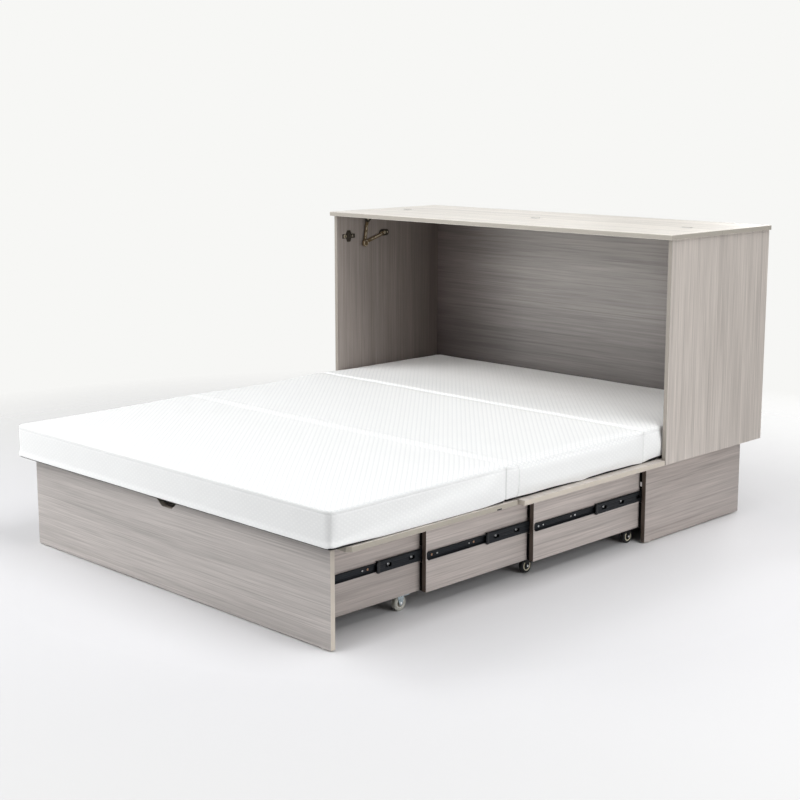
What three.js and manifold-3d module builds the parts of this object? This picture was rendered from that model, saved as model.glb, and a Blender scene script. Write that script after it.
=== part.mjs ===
// A cabinet bed, opened out for sleeping.
// A low cabinet stands on an inset base. Three frames telescope out of the base on
// ball-bearing slides and casters, and carry two hinged platform boards. A tri-fold
// mattress lies across the cabinet deck and the boards. The front half of the cabinet's
// top is a flap on three flush hinges, with a two-arm stay at each end.
//
// Millimetres, +Z up. Inside the bed group +X is to the right seen from the foot, y is 0
// at the front edges of the cabinet's side panels, and the platform reaches towards -Y.
// The outer group moves the origin to the floor under the middle of the whole bed.

import * as THREE from "three";
import { mergeVertices } from "three/addons/utils/BufferGeometryUtils.js";
import Module from "manifold-3d";

const wasm = await Module();
wasm.setup();

// Panels
const board_thickness = 16;
const back_thickness = 6;
const edge_chamfer = 1;

// Cabinet
const cabinet_width = 1584;
const cabinet_depth = 579;
const side_height = 735;
const base_height = 282;
const base_inset = 75;
const base_rear_inset = 9;
const top_side_overhang = 7;
const top_front_overhang = 17;
const flap_seam_setback = 275;
const flap_seam_gap = 1;

// Glides and floor clearance
const glide_height = 4;
const glide_radius = 7.5;
const glide_taper = 1.5;
const glide_inset = 34;
const rail_floor_gap = 52;

// Telescoping frames, outermost first: how far each front stands out past the front of
// what carries it, how much shorter its side boards are than the room behind that front,
// and how far its casters' axles lie before its rear end.
const frame_a = { reach: 543, rear_gap: 2, caster_inset: 36 };
const frame_b = { reach: 446, rear_gap: 16, caster_inset: 46 };
const frame_c = { reach: 409, rear_gap: 24, caster_inset: 128 };
const slide_space = 13;
const frame_top_gap = 0.3;
const front_reveal = 2;

// Finger notch in the foot panel
const notch_width_top = 100;
const notch_width_bottom = 47;
const notch_depth = 20;

// Platform boards
const head_board_length = 707;
const foot_board_front_setback = 1;
const foot_board_side_gap = 5;
const foot_board_corner = 12;
const board_hinge_offset = 1;

// Hinges: barrels, pins and leaves
const hinge_axis_rise = 0.2;
const barrel_radius = 3;
const barrel_clearance = 0.5;
const pin_radius = 1.3;
const pin_clearance = 0.3;
const leaf_thickness = 1.5;
const leaf_clearance = 0.3;
const knuckle_gap = 0.5;
const barrel_sides = 10;
const strip_leaf_width = 26;
const strip_end_inset = 40;
const strip_knuckle_pitch = 120;
const flap_hinge_length = 38;
const flap_hinge_leaf_width = 22;
const flap_hinge_end_inset = 140;
const flap_hinge_knuckles = 3;

// Ball-bearing slides: three channels that nest, each folded from sheet
const slide_wall = 1.2;
const slide_bend = 2.4;
const slide_axis_height = 162;
const outer_channel = { height: 45, depth: 9.6 };
const middle_channel = { height: 35.6, depth: 8.6 };
const inner_channel = { height: 26.6, depth: 7.4 };
const channel_web_gap = 0.6;
const slide_front_setback = 3;
const slide_rear_setback = 4;
const middle_front_setback = 25;
const middle_front_corner = 6;
const ball_row_length = 90;
const ball_row_width = 3.4;
const ball_row_outer_inset = 6;
const ball_row_inner_inset = 8;
const ball_clearance = 0.3;
const slide_hole_radius = 4;
const slide_hole_setback = 30;
const slide_hole_count = 3;
const slide_hole_sides = 8;

// Casters
const wheel_radius = 23.5;
const wheel_width = 17;
const tyre_round = 5;
const hub_radius = 13;
const hub_recess = 2.5;
const hub_step = 2;
const axle_radius = 3;
const axle_clearance = 0.4;
const wheel_sides = 20;
const wheel_inside_board = 10;
const fork_wall = 1.6;
const fork_wheel_gap = 0.9;
const fork_plate_thickness = 2.5;
const fork_plate_length = 42;
const fork_leg_top = 30;
const fork_leg_bottom = 13;

// Lid stays: each a lower arm on the side panel and an upper arm on the flap. The four
// pivots make a parallelogram, so the lower arm turns as far as the flap and the upper
// arm keeps its slope.
const stay_arm_width = 14;
const stay_arm_thickness = 2.5;
const stay_layer_gap = 0.3;
const stay_pin_radius = 3;
const stay_pin_clearance = 0.3;
const stay_flap_pivot = { forward: 115, drop: 36 };
const stay_side_pivot = { forward: 18, drop: 95 };
const stay_drum_radius = 14;
const stay_drum_thickness = 7;
const stay_plate = { thickness: 2, length: 52, height: 26 };
const stay_foot = { thickness: 2, length: 100, width: 12, lead: 76 };
const stay_tab = { length: 42, drop: 12 };
const stay_pin_sides = 12;
const stay_drum_sides = 20;

// Mattress
const mattress_side_gap = 10;
const mattress_thickness = 108.7;
const mattress_seat_gap = 0.3;
const mattress_crown = 5;
const mattress_corner_radius = 24;
const mattress_edge_radius = 22;
const mattress_side_draw = 4;
const mattress_rear_gap = 1;
const mattress_joint_gap = 0.5;
const mattress_deck_lead = 88.5;
const mattress_joint_lead = 50.5;
const mattress_foot_overhang = 61;
const mattress_groove = { width: 12, depth: 5 };
const mattress_side_shares = [0.25, 0.5, 0.75];
const mattress_cap_shares = [0.12, 0.35, 0.65, 0.9];
const mattress_edge_shares = [0, 0.5, 1];

// Shared by all cuts and joins
const cut_overrun = 5;
const weld_depth = 0.3;
const panel_gap = 0.1;
const arc_steps = 5;
const bend_steps = 2;
const sides = { left: -1, right: 1 };

// Places that follow from the sizes above
const cabinet_half = cabinet_width / 2;
const inner_half = cabinet_half - board_thickness;
const base_half = cabinet_half - base_inset;
const base_inner_half = base_half - board_thickness;
const deck_top = base_height + board_thickness;
const side_top = base_height + side_height;
const cabinet_top = side_top + board_thickness;
const top_half = cabinet_half + top_side_overhang;
const back_front = cabinet_depth - back_thickness;
const base_rear = cabinet_depth - base_rear_inset;
const base_rail_front = base_rear - board_thickness;
const frame_top = base_height - frame_top_gap;
const barrel_room = barrel_radius + barrel_clearance;
const flap_axis = { y: flap_seam_setback, z: cabinet_top + hinge_axis_rise };
const deck_axis = { y: -board_hinge_offset, z: deck_top + hinge_axis_rise };
const deck_front = deck_axis.y + barrel_room;
const joint_axis = {
  y: deck_axis.y - barrel_room - head_board_length - barrel_room,
  z: deck_axis.z,
};
const frame_front = -(frame_a.reach + frame_b.reach + frame_c.reach);
const foot_board_front = frame_front + foot_board_front_setback;
const foot_board_half = inner_half - foot_board_side_gap;
const mattress_bottom = deck_top + mattress_seat_gap;
const mattress_top = mattress_bottom + mattress_thickness;
const mattress_half = inner_half - mattress_side_gap;

// Finishes
const finish = (color, roughness, metalness = 0) =>
  new THREE.MeshStandardMaterial({ color, roughness, metalness });
const laminate = finish(0xb8afa7, 0.55);
const slide_black = finish(0x24282b, 0.4, 0.7);
const hinge_steel = finish(0xb9babb, 0.35, 0.9);
const stay_bronze = finish(0x7d6546, 0.4, 0.8);
const wheel_grey = finish(0xc9cbc6, 0.35);
const wheel_black = finish(0x17181a, 0.5);
const fabric_white = finish(0xf0efec, 0.95);

// A closed three.js geometry as a manifold solid.
function solidOf(geometry) {
  const bare = geometry.clone();
  bare.deleteAttribute("normal");
  bare.deleteAttribute("uv");
  const merged = mergeVertices(bare);
  return new wasm.Manifold(
    new wasm.Mesh({
      numProp: 3,
      vertProperties: merged.attributes.position.array,
      triVerts: new Uint32Array(merged.index.array),
    }),
  );
}

// A manifold solid back as a three.js geometry.
function geometryOf(solid) {
  const mesh = solid.getMesh();
  const geometry = new THREE.BufferGeometry();
  const position = new THREE.BufferAttribute(mesh.vertProperties, mesh.numProp);
  geometry.setAttribute("position", position);
  geometry.setIndex(new THREE.BufferAttribute(mesh.triVerts, 1));
  geometry.computeVertexNormals();
  return geometry;
}

// The first geometry with the others joined to it.
function joined(first, ...others) {
  return geometryOf(others.reduce((sum, g) => sum.add(solidOf(g)), solidOf(first)));
}

// The first geometry with the others cut out of it.
function cut(first, ...others) {
  return geometryOf(others.reduce((left, g) => left.subtract(solidOf(g)), solidOf(first)));
}

// A named mesh, added to its group at a place.
function place(group, name, geometry, material, x = 0, y = 0, z = 0) {
  const mesh = new THREE.Mesh(geometry, material);
  mesh.name = name;
  mesh.position.set(x, y, z);
  group.add(mesh);
}

// A group inside another one, moved to a place.
function inner(group, x = 0, y = 0, z = 0) {
  const child = new THREE.Group();
  child.position.set(x, y, z);
  group.add(child);
  return child;
}

// A polygon outline from pairs of coordinates.
function outline(points) {
  return new THREE.Shape(points.map(([u, v]) => new THREE.Vector2(u, v)));
}

// An outline extruded to a depth, centred on its own plane. Its two directions lie
// along the named axis and the next one round: x then y, y then z, or z then x.
function extruded(shape, depth, first = "x", options = {}) {
  const settings = { depth, bevelEnabled: false, curveSegments: arc_steps, ...options };
  const geometry = new THREE.ExtrudeGeometry(shape, settings);
  geometry.translate(0, 0, -depth / 2);
  const x = new THREE.Vector3(1, 0, 0);
  const y = new THREE.Vector3(0, 1, 0);
  const z = new THREE.Vector3(0, 0, 1);
  const bases = { x: [x, y, z], y: [y, z, x], z: [z, x, y] };
  return geometry.applyMatrix4(new THREE.Matrix4().makeBasis(...bases[first]));
}

// The same with both faces chamfered all round, as an edged board is.
function chamfered(shape, thickness, first) {
  return extruded(shape, thickness - 2 * edge_chamfer, first, {
    bevelEnabled: true,
    bevelThickness: edge_chamfer,
    bevelSize: edge_chamfer,
    bevelOffset: -edge_chamfer,
    bevelSegments: 1,
  });
}

// The middle and the size of a range.
const middle = (range) => (range[0] + range[1]) / 2;
const span = (range) => range[1] - range[0];

// A rectangular board over three ranges. Its thinnest side is its thickness.
function board(x, y, z) {
  const size = { x: span(x), y: span(y), z: span(z) };
  const thin = Object.keys(size).reduce((a, b) => (size[a] <= size[b] ? a : b));
  const first = { z: "x", x: "y", y: "z" }[thin];
  const second = { z: "y", x: "z", y: "x" }[thin];
  const u = size[first] / 2;
  const v = size[second] / 2;
  const shape = outline([[-u, -v], [u, -v], [u, v], [-u, v]]);
  return chamfered(shape, size[thin], first).translate(middle(x), middle(y), middle(z));
}

// A plain block over three ranges, for plates and for cutting.
function block(x, y, z) {
  const geometry = new THREE.BoxGeometry(span(x), span(y), span(z));
  return geometry.translate(middle(x), middle(y), middle(z));
}

// A cylinder along X over a range.
function rod(radius, x, y, z, sides = barrel_sides) {
  const geometry = new THREE.CylinderGeometry(radius, radius, span(x), sides);
  return geometry.rotateZ(Math.PI / 2).translate(middle(x), y, z);
}

// A tapered glide that stands on the floor and reaches just into the board above it.
function glide(x, y) {
  const height = glide_height + weld_depth;
  const foot_radius = glide_radius - glide_taper;
  const geometry = new THREE.CylinderGeometry(glide_radius, foot_radius, height, barrel_sides);
  return geometry.rotateX(Math.PI / 2).translate(x, y, height / 2);
}

// Hinge knuckles along X: ranges that take turns between the fixed and the moving leaf.
function knuckles(length, count) {
  const pitch = length / count;
  return Array.from({ length: count }, (_, i) => {
    const start = -length / 2 + i * pitch;
    return [start + knuckle_gap / 2, start + pitch - knuckle_gap / 2];
  });
}

// One leaf of a hinge whose axis is the local X axis. The fixed leaf lies on the +Y side
// and holds the pin; the moving leaf lies on the -Y side and is bored for it.
function hingeLeaf(length, width, count, moving) {
  const ranges = knuckles(length, count);
  const own = ranges.filter((_, i) => i % 2 === (moving ? 1 : 0));
  const other = ranges.filter((_, i) => i % 2 === (moving ? 0 : 1));
  const whole = [ranges[0][0], ranges[count - 1][1]];
  const y = moving ? [-width, 0] : [0, width];
  const plate = block(whole, y, [-hinge_axis_rise - leaf_thickness, -hinge_axis_rise]);
  const gaps = other.map(([a, b]) => rod(barrel_room, [a - knuckle_gap, b + knuckle_gap], 0, 0));
  const barrels = own.map((range) => rod(barrel_radius, range, 0, 0));
  const leaf = joined(cut(plate, ...gaps), ...barrels);
  const past = [whole[0] - cut_overrun, whole[1] + cut_overrun];
  if (moving) return cut(leaf, rod(pin_radius + pin_clearance, past, 0, 0));
  return joined(leaf, rod(pin_radius, whole, 0, 0));
}

// The recess for a leaf in a board's top, at the hinge's axis.
function leafRecess(length, width, moving, axis, x = 0) {
  const half = length / 2 + leaf_clearance;
  const far = width + leaf_clearance;
  const floor = -hinge_axis_rise - leaf_thickness - leaf_clearance;
  const y = moving ? [-far, cut_overrun] : [-cut_overrun, far];
  return block([-half, half], y, [floor, cut_overrun]).translate(x, axis.y, axis.z);
}

// One leaf of a strip hinge, with as many knuckles as its length has room for. Their
// number is odd, so that the fixed leaf has both ends.
function stripLeaf(length, moving) {
  const count = 2 * Math.floor(length / strip_knuckle_pitch / 2) + 1;
  return hingeLeaf(length, strip_leaf_width, count, moving);
}

const deck_strip_length = 2 * (inner_half - strip_end_inset);
const joint_strip_length = 2 * (foot_board_half - strip_end_inset);

// Cabinet panels, the base and the glides it stands on.
function addCabinet(bed) {
  for (const [side, sign] of Object.entries(sides)) {
    const half = inner(bed);
    half.scale.x = sign;
    place(half, `side_panel_${side}`,
      board([inner_half, cabinet_half], [0, cabinet_depth], [base_height, side_top]), laminate);
    const base_x = [base_inner_half, base_half];
    const base_side = board(base_x, [0, base_rear], [glide_height, base_height]);
    const glides = [glide_inset, base_rear - glide_inset].map((y) => glide(middle(base_x), y));
    const channel = outerChannel(base_rail_front, base_inner_half);
    place(half, `base_side_${side}`, joined(base_side, ...glides, channel), laminate);
  }
  const between_sides = [panel_gap - inner_half, inner_half - panel_gap];
  place(bed, "back_panel",
    board(between_sides, [back_front, cabinet_depth], [base_height, side_top]), laminate);
  const deck = board(between_sides, [deck_front, back_front], [base_height, deck_top]);
  const recess = leafRecess(deck_strip_length, strip_leaf_width, false, deck_axis);
  place(bed, "cabinet_deck", cut(deck, recess), laminate);
  place(bed, "base_rear_rail",
    board([panel_gap - base_inner_half, base_inner_half - panel_gap],
      [base_rail_front, base_rear], [glide_height, base_height]), laminate);
  place(bed, "deck_hinge_leaf", stripLeaf(deck_strip_length, false), hinge_steel,
    0, deck_axis.y, deck_axis.z);
}

// The places of the flap's hinges along X, with the names of their nodes' ends.
const flap_hinge_x = top_half - flap_hinge_end_inset;
const flap_hinges = { left: -flap_hinge_x, middle: 0, right: flap_hinge_x };

// The cuts that the flap's hinges need in one of the two top boards.
function flapHingeCuts(moving) {
  return Object.values(flap_hinges).flatMap((x) => {
    const half = flap_hinge_length / 2 + leaf_clearance;
    const barrel = rod(barrel_room, [x - half, x + half], flap_axis.y, flap_axis.z);
    return [leafRecess(flap_hinge_length, flap_hinge_leaf_width, moving, flap_axis, x), barrel];
  });
}

// The cabinet's top: a fixed rear board and the flap, with the hinges between them.
function addTop(bed, flap) {
  const x = [-top_half, top_half];
  const z = [side_top, cabinet_top];
  const rear = board(x, [flap_seam_setback + flap_seam_gap / 2, cabinet_depth], z);
  place(bed, "top_rear_board", cut(rear, ...flapHingeCuts(false)), laminate);
  const front = board(x, [-top_front_overhang, flap_seam_setback - flap_seam_gap / 2], z);
  const panel = cut(front, ...flapHingeCuts(true)).translate(0, -flap_axis.y, -flap_axis.z);
  place(flap, "top_flap", panel, laminate);
  for (const [side, hinge_x] of Object.entries(flap_hinges)) {
    const leaf = (moving) =>
      hingeLeaf(flap_hinge_length, flap_hinge_leaf_width, flap_hinge_knuckles, moving);
    place(bed, `flap_hinge_${side}`, leaf(false), hinge_steel, hinge_x, flap_axis.y, flap_axis.z);
    place(flap, `flap_leaf_${side}`, leaf(true), hinge_steel, hinge_x);
  }
}

// A flat arm in the YZ plane from the origin to a point, round at both ends.
function arm(y, z, width, thickness) {
  const length = Math.hypot(y, z);
  const shape = new THREE.Shape();
  shape.absarc(0, 0, width / 2, Math.PI / 2, Math.PI * 1.5);
  shape.absarc(length, 0, width / 2, -Math.PI / 2, Math.PI / 2);
  const geometry = extruded(shape, thickness, "y");
  return geometry.rotateX(Math.atan2(z, y));
}

// A plate in the YZ plane whose two lower corners are cut off.
function chamferedTab(x, y, z) {
  const corner = span(z) / 2;
  const shape = outline([
    [y[0], z[1]], [y[0], z[0] + corner], [y[0] + corner, z[0]],
    [y[1] - corner, z[0]], [y[1], z[0] + corner], [y[1], z[1]],
  ]);
  return extruded(shape, span(x), "y").translate(middle(x), 0, 0);
}

// An oblong plate in the YZ plane with round ends, longest along Y.
function oblong(length, height, thickness) {
  const straight = length - height;
  return arm(straight, 0, height, thickness).translate(0, -straight / 2, 0);
}

// The lid stays. Each layer lies further in from the side panel than the one before it.
function addStays(bed, flap) {
  const flap_pivot = { y: -stay_flap_pivot.forward, z: -stay_flap_pivot.drop };
  const side_pivot = { y: -stay_side_pivot.forward, z: -stay_side_pivot.drop };
  const elbow = { y: flap_pivot.y + side_pivot.y, z: flap_pivot.z + side_pivot.z };
  const plate_x = [inner_half - stay_plate.thickness, inner_half];
  const layer = (number) => {
    const near = plate_x[0] - stay_layer_gap - number * (stay_arm_thickness + stay_layer_gap);
    return [near - stay_arm_thickness, near];
  };
  const [lower, upper, tab] = [layer(0), layer(1), layer(2)];
  const drum_x = [upper[0] - stay_layer_gap - stay_drum_thickness, upper[0] - stay_layer_gap];
  const bored = stay_pin_radius + stay_pin_clearance;
  const pin = (x, at) => rod(stay_pin_radius, x, at.y, at.z, stay_pin_sides);
  const hole = (x, at) =>
    rod(bored, [x[0] - cut_overrun, x[1] + cut_overrun], at.y, at.z, stay_pin_sides);
  const drum = rod(stay_drum_radius, drum_x, elbow.y, elbow.z, stay_drum_sides);
  const underside = -hinge_axis_rise - board_thickness;
  const foot_y = [flap_pivot.y - stay_foot.lead, flap_pivot.y - stay_foot.lead + stay_foot.length];
  const foot_z = [underside - stay_foot.thickness, underside];
  const tab_y = [flap_pivot.y - stay_tab.length / 2, flap_pivot.y + stay_tab.length / 2];
  const tab_z = [flap_pivot.z - stay_tab.drop, middle(foot_z)];
  for (const [side, sign] of Object.entries(sides)) {
    const fixed = inner(bed, 0, flap_axis.y, flap_axis.z);
    const moving = inner(flap);
    for (const group of [fixed, moving]) group.scale.x = sign;

    const plate = oblong(stay_plate.length, stay_plate.height, stay_plate.thickness);
    plate.translate(middle(plate_x), side_pivot.y, side_pivot.z);
    const side_pin = pin([lower[0], plate_x[0] + weld_depth], side_pivot);
    place(fixed, `stay_bracket_${side}`, joined(plate, side_pin), stay_bronze);

    const lower_arm = arm(flap_pivot.y, flap_pivot.z, stay_arm_width, stay_arm_thickness);
    lower_arm.translate(middle(lower), side_pivot.y, side_pivot.z);
    const elbow_pin = pin([drum_x[0], lower[0] + weld_depth], elbow);
    const bored_arm = cut(lower_arm, hole(lower, side_pivot));
    place(fixed, `stay_lower_arm_${side}`, joined(bored_arm, elbow_pin, drum), stay_bronze);

    const upper_arm = arm(side_pivot.y, side_pivot.z, stay_arm_width, stay_arm_thickness);
    upper_arm.translate(middle(upper), flap_pivot.y, flap_pivot.z);
    const eyes = [hole(upper, flap_pivot), hole(upper, elbow)];
    place(fixed, `stay_upper_arm_${side}`, cut(upper_arm, ...eyes), stay_bronze);

    const foot = block([tab[1] - stay_foot.width, tab[1]], foot_y, foot_z);
    const tab_plate = chamferedTab(tab, tab_y, tab_z);
    const flap_pin = pin([middle(tab), upper[1]], flap_pivot);
    place(moving, `stay_foot_${side}`, joined(tab_plate, foot, flap_pin), stay_bronze);
  }
}

// A folded channel's section: the web along v at u = 0, the two flanges along +u.
function channelShape({ height, depth }) {
  const half = height / 2;
  const inside = half - slide_wall;
  const shape = new THREE.Shape();
  shape.moveTo(depth, -half);
  shape.lineTo(depth, -inside);
  shape.lineTo(slide_bend, -inside);
  shape.quadraticCurveTo(slide_wall, -inside, slide_wall, slide_bend - half);
  shape.lineTo(slide_wall, half - slide_bend);
  shape.quadraticCurveTo(slide_wall, inside, slide_bend, inside);
  shape.lineTo(depth, inside);
  shape.lineTo(depth, half);
  shape.lineTo(slide_bend, half);
  shape.quadraticCurveTo(0, half, 0, half - slide_bend);
  shape.lineTo(0, slide_bend - half);
  shape.quadraticCurveTo(0, -half, slide_bend, -half);
  return shape;
}

// A channel along Y over a range, with its web at a place in x. It opens towards the
// middle of the bed or away from it.
function slideChannel(profile, y, opens_inward, web_x) {
  const geometry = extruded(channelShape(profile), span(y), "x", { curveSegments: bend_steps });
  geometry.rotateX(Math.PI / 2);
  if (opens_inward) geometry.rotateZ(Math.PI);
  return geometry.translate(web_x, middle(y), slide_axis_height);
}

// A channel with a row of screw holes through its web.
function drilledChannel(profile, y, opens_inward, web_x) {
  const spacing = (span(y) - 2 * slide_hole_setback) / (slide_hole_count - 1);
  const through = [web_x - slide_space, web_x + slide_space];
  const holes = Array.from({ length: slide_hole_count }, (_, i) => {
    const hole_y = y[0] + slide_hole_setback + i * spacing;
    return rod(slide_hole_radius, through, hole_y, slide_axis_height, slide_hole_sides);
  });
  return cut(slideChannel(profile, y, opens_inward, web_x), ...holes);
}

// Where the outer channel lies behind the front of the box that it is screwed to.
const outerChannelRange = (rail_front) => [slide_front_setback, rail_front - slide_rear_setback];

// The outer channel of a slide, on the inner face of the side board that it is part of.
const outerChannel = (rail_front, face_x) =>
  slideChannel(outer_channel, outerChannelRange(rail_front), true, face_x + weld_depth);

// The middle member of a slide: its channel and the four rows of balls that it carries,
// at its rear end for the outer channel and at its front end for the inner one.
function slideMiddle(y, face_x) {
  const web_x = face_x - slide_wall - channel_web_gap;
  const channel = drilledChannel(middle_channel, y, true, web_x);
  const flange = middle_channel.height / 2;
  const outer_race = outer_channel.height / 2 - slide_wall - ball_clearance;
  const inner_race = inner_channel.height / 2 + ball_clearance;
  const row = (inset, y_range, near, far) => [-1, 1].map((up) => {
    const x = [face_x - inset - ball_row_width / 2, face_x - inset + ball_row_width / 2];
    const z = [up * near, up * far].sort((a, b) => a - b);
    return block(x, y_range, z).translate(0, 0, slide_axis_height);
  });
  const rear = [y[1] - ball_row_length, y[1]];
  const front = [y[0] + middle_front_corner, y[0] + ball_row_length];
  return joined(cut(channel, ...frontCorners(y[0], face_x)),
    ...row(ball_row_outer_inset, rear, flange - weld_depth, outer_race),
    ...row(ball_row_inner_inset, front, inner_race, flange - slide_wall + weld_depth));
}

// The two wedges that take the corners off a middle channel's front end.
function frontCorners(front, face_x) {
  const flange = middle_channel.height / 2;
  return [-1, 1].map((up) => {
    const corner = outline([
      [front - cut_overrun, up * (flange - middle_front_corner - cut_overrun)],
      [front + middle_front_corner + cut_overrun, up * (flange + cut_overrun)],
      [front - cut_overrun, up * (flange + cut_overrun)],
    ]);
    return extruded(corner, 2 * slide_space, "y").translate(face_x, 0, slide_axis_height);
  });
}

// A rigid caster's fork under a side board: a top plate, two tapered legs and the axle.
function casterFork(wheel_x, board_outer, y) {
  const leg_x = wheel_width / 2 + fork_wheel_gap;
  const plate_z = [rail_floor_gap - fork_plate_thickness, rail_floor_gap];
  const plate_y = [y - fork_plate_length / 2, y + fork_plate_length / 2];
  const plate = block([wheel_x - leg_x - fork_wall, board_outer], plate_y, plate_z);
  const under_board = [board_outer - board_thickness + edge_chamfer, board_outer - edge_chamfer];
  const seat = block(under_board, plate_y, [plate_z[0], rail_floor_gap + weld_depth]);
  const drop = plate_z[0] + weld_depth - wheel_radius;
  const leg_shape = new THREE.Shape();
  leg_shape.moveTo(-fork_leg_top / 2, drop);
  leg_shape.lineTo(-fork_leg_bottom / 2, 0);
  leg_shape.absarc(0, 0, fork_leg_bottom / 2, Math.PI, 2 * Math.PI);
  leg_shape.lineTo(fork_leg_top / 2, drop);
  const legs = [-1, 1].map((sign) => {
    const x = wheel_x + sign * (leg_x + fork_wall / 2);
    return extruded(leg_shape, fork_wall, "y").translate(x, y, wheel_radius);
  });
  const axle_x = [wheel_x - leg_x - weld_depth, wheel_x + leg_x + weld_depth];
  return joined(plate, seat, ...legs, rod(axle_radius, axle_x, y, wheel_radius, stay_pin_sides));
}

// A caster wheel about the local X axis, with a recessed hub and a rounded tyre.
function casterWheel() {
  const bore = axle_radius + axle_clearance;
  const face = wheel_width / 2;
  const hub = face - hub_recess;
  const shoulder = wheel_radius - tyre_round;
  const profile = [
    [bore, -hub], [hub_radius, -hub], [hub_radius + hub_step, -face], [shoulder, -face],
    [wheel_radius, -face + tyre_round], [wheel_radius, face - tyre_round],
    [shoulder, face], [hub_radius + hub_step, face], [hub_radius, hub], [bore, hub], [bore, -hub],
  ];
  const points = profile.map(([r, h]) => new THREE.Vector2(r, h));
  return new THREE.LatheGeometry(points, wheel_sides).rotateZ(Math.PI / 2);
}

// One telescoping frame, from its front edge back, inside the box that carries it: the
// base or the frame before it. Its slides' middle channels travel half as far as it does,
// so at full reach they stand half of that out of their box.
function addFrame(box, name, { reach, rear_gap, caster_inset }, carries_frame) {
  const length = box.rail_front - rear_gap;
  const outer_x = box.inner_x - slide_space;
  const inner_x = outer_x - board_thickness;
  const rail_front = length - board_thickness;
  const caster_y = length - caster_inset;
  const wheel_x = inner_x - wheel_inside_board;
  const wheel_material = carries_frame ? wheel_black : wheel_grey;
  const z = [rail_floor_gap, frame_top];
  const group = inner(box.group, 0, -reach);
  const middle_rear = outerChannelRange(box.rail_front)[1] - slide_front_setback;
  for (const [side, sign] of Object.entries(sides)) {
    const half = inner(group);
    const box_half = inner(box.group, 0, -(reach - front_reveal) / 2);
    for (const mirrored of [half, box_half]) mirrored.scale.x = sign;
    const side_board = board([inner_x, outer_x], [0, length], z);
    const fittings = [casterFork(wheel_x, outer_x, caster_y)];
    if (carries_frame) fittings.push(outerChannel(rail_front, inner_x));
    place(half, `${name}_side_${side}`, joined(side_board, ...fittings), laminate);
    const inner_y = [slide_front_setback, length - slide_rear_setback];
    const inner_member = drilledChannel(inner_channel, inner_y, false, outer_x);
    place(half, `${name}_slide_inner_${side}`, inner_member, slide_black);
    const middle_member = slideMiddle([middle_front_setback, middle_rear], box.inner_x);
    place(box_half, `${name}_slide_middle_${side}`, middle_member, slide_black);
    place(half, `${name}_wheel_${side}`, casterWheel(), wheel_material,
      wheel_x, caster_y, wheel_radius);
  }
  place(group, `${name}_rear_rail`,
    board([panel_gap - inner_x, inner_x - panel_gap], [rail_front, length], z), laminate);
  return { group, inner_x, rail_front };
}

// The foot panel on the front of the last frame, with its finger notch.
function addFootPanel(group) {
  const top = frame_top;
  const notch_bottom = top - notch_depth;
  const shape = outline([
    [glide_height, -base_half], [top, -base_half], [top, -notch_width_top / 2],
    [notch_bottom, -notch_width_bottom / 2], [notch_bottom, notch_width_bottom / 2],
    [top, notch_width_top / 2], [top, base_half], [glide_height, base_half],
  ]);
  const panel = chamfered(shape, board_thickness, "z").translate(0, -board_thickness / 2, 0);
  const glides = [-1, 1].map((sign) =>
    glide(sign * (base_half - glide_inset), -board_thickness / 2));
  place(group, "foot_panel", joined(panel, ...glides), laminate);
}

// The two platform boards with the strip hinges' moving and fixed leaves.
function addPlatform(head, foot) {
  const z = [-hinge_axis_rise - board_thickness, -hinge_axis_rise];
  const head_rear = -barrel_room;
  const head_front = head_rear - head_board_length;
  const head_panel = board([-cabinet_half, cabinet_half], [head_front, head_rear], z);
  const at_deck = { y: 0, z: 0 };
  const at_joint = { y: joint_axis.y - deck_axis.y, z: 0 };
  place(head, "platform_board_head", cut(head_panel,
    leafRecess(deck_strip_length, strip_leaf_width, true, at_deck),
    leafRecess(joint_strip_length, strip_leaf_width, false, at_joint)), laminate);
  place(head, "head_board_hinge_leaf", stripLeaf(deck_strip_length, true), hinge_steel);
  place(head, "joint_hinge_leaf_head", stripLeaf(joint_strip_length, false), hinge_steel,
    0, at_joint.y);
  const foot_rear = -barrel_room;
  const foot_front = foot_board_front - joint_axis.y;
  const corner = foot_board_corner;
  const shape = outline([
    [-foot_board_half, foot_rear], [-foot_board_half, foot_front + corner],
    [corner - foot_board_half, foot_front], [foot_board_half - corner, foot_front],
    [foot_board_half, foot_front + corner], [foot_board_half, foot_rear],
  ]);
  const foot_panel = chamfered(shape, board_thickness, "x").translate(0, 0, middle(z));
  place(foot, "platform_board_foot", cut(foot_panel,
    leafRecess(joint_strip_length, strip_leaf_width, true, at_deck)), laminate);
  place(foot, "joint_hinge_leaf_foot", stripLeaf(joint_strip_length, true), hinge_steel);
}

// One ring of a cushion: a rectangle with round corners, drawn in along its sides.
function cushionRing(half_x, half_y, corner, draw, z) {
  const points = [];
  const corners = [[1, 1], [-1, 1], [-1, -1], [1, -1]];
  corners.forEach(([sx, sy], number) => {
    const start = (number * Math.PI) / 2;
    for (let i = 0; i < arc_steps; i += 1) {
      const angle = start + (i / (arc_steps - 1)) * (Math.PI / 2);
      const x = sx * (half_x - corner) + corner * Math.cos(angle);
      const y = sy * (half_y - corner) + corner * Math.sin(angle);
      points.push([x, y, z]);
    }
    const next = corners[(number + 1) % corners.length];
    const along_x = number % 2 === 0;
    for (const share of mattress_side_shares) {
      const bow = draw * (1 - (2 * share - 1) ** 2);
      const x = along_x ? (sx + (next[0] - sx) * share) * (half_x - corner) : sx * (half_x - bow);
      const y = along_x ? sy * (half_y - bow) : (sy + (next[1] - sy) * share) * (half_y - corner);
      points.push([x, y, z]);
    }
  });
  return points;
}

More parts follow.
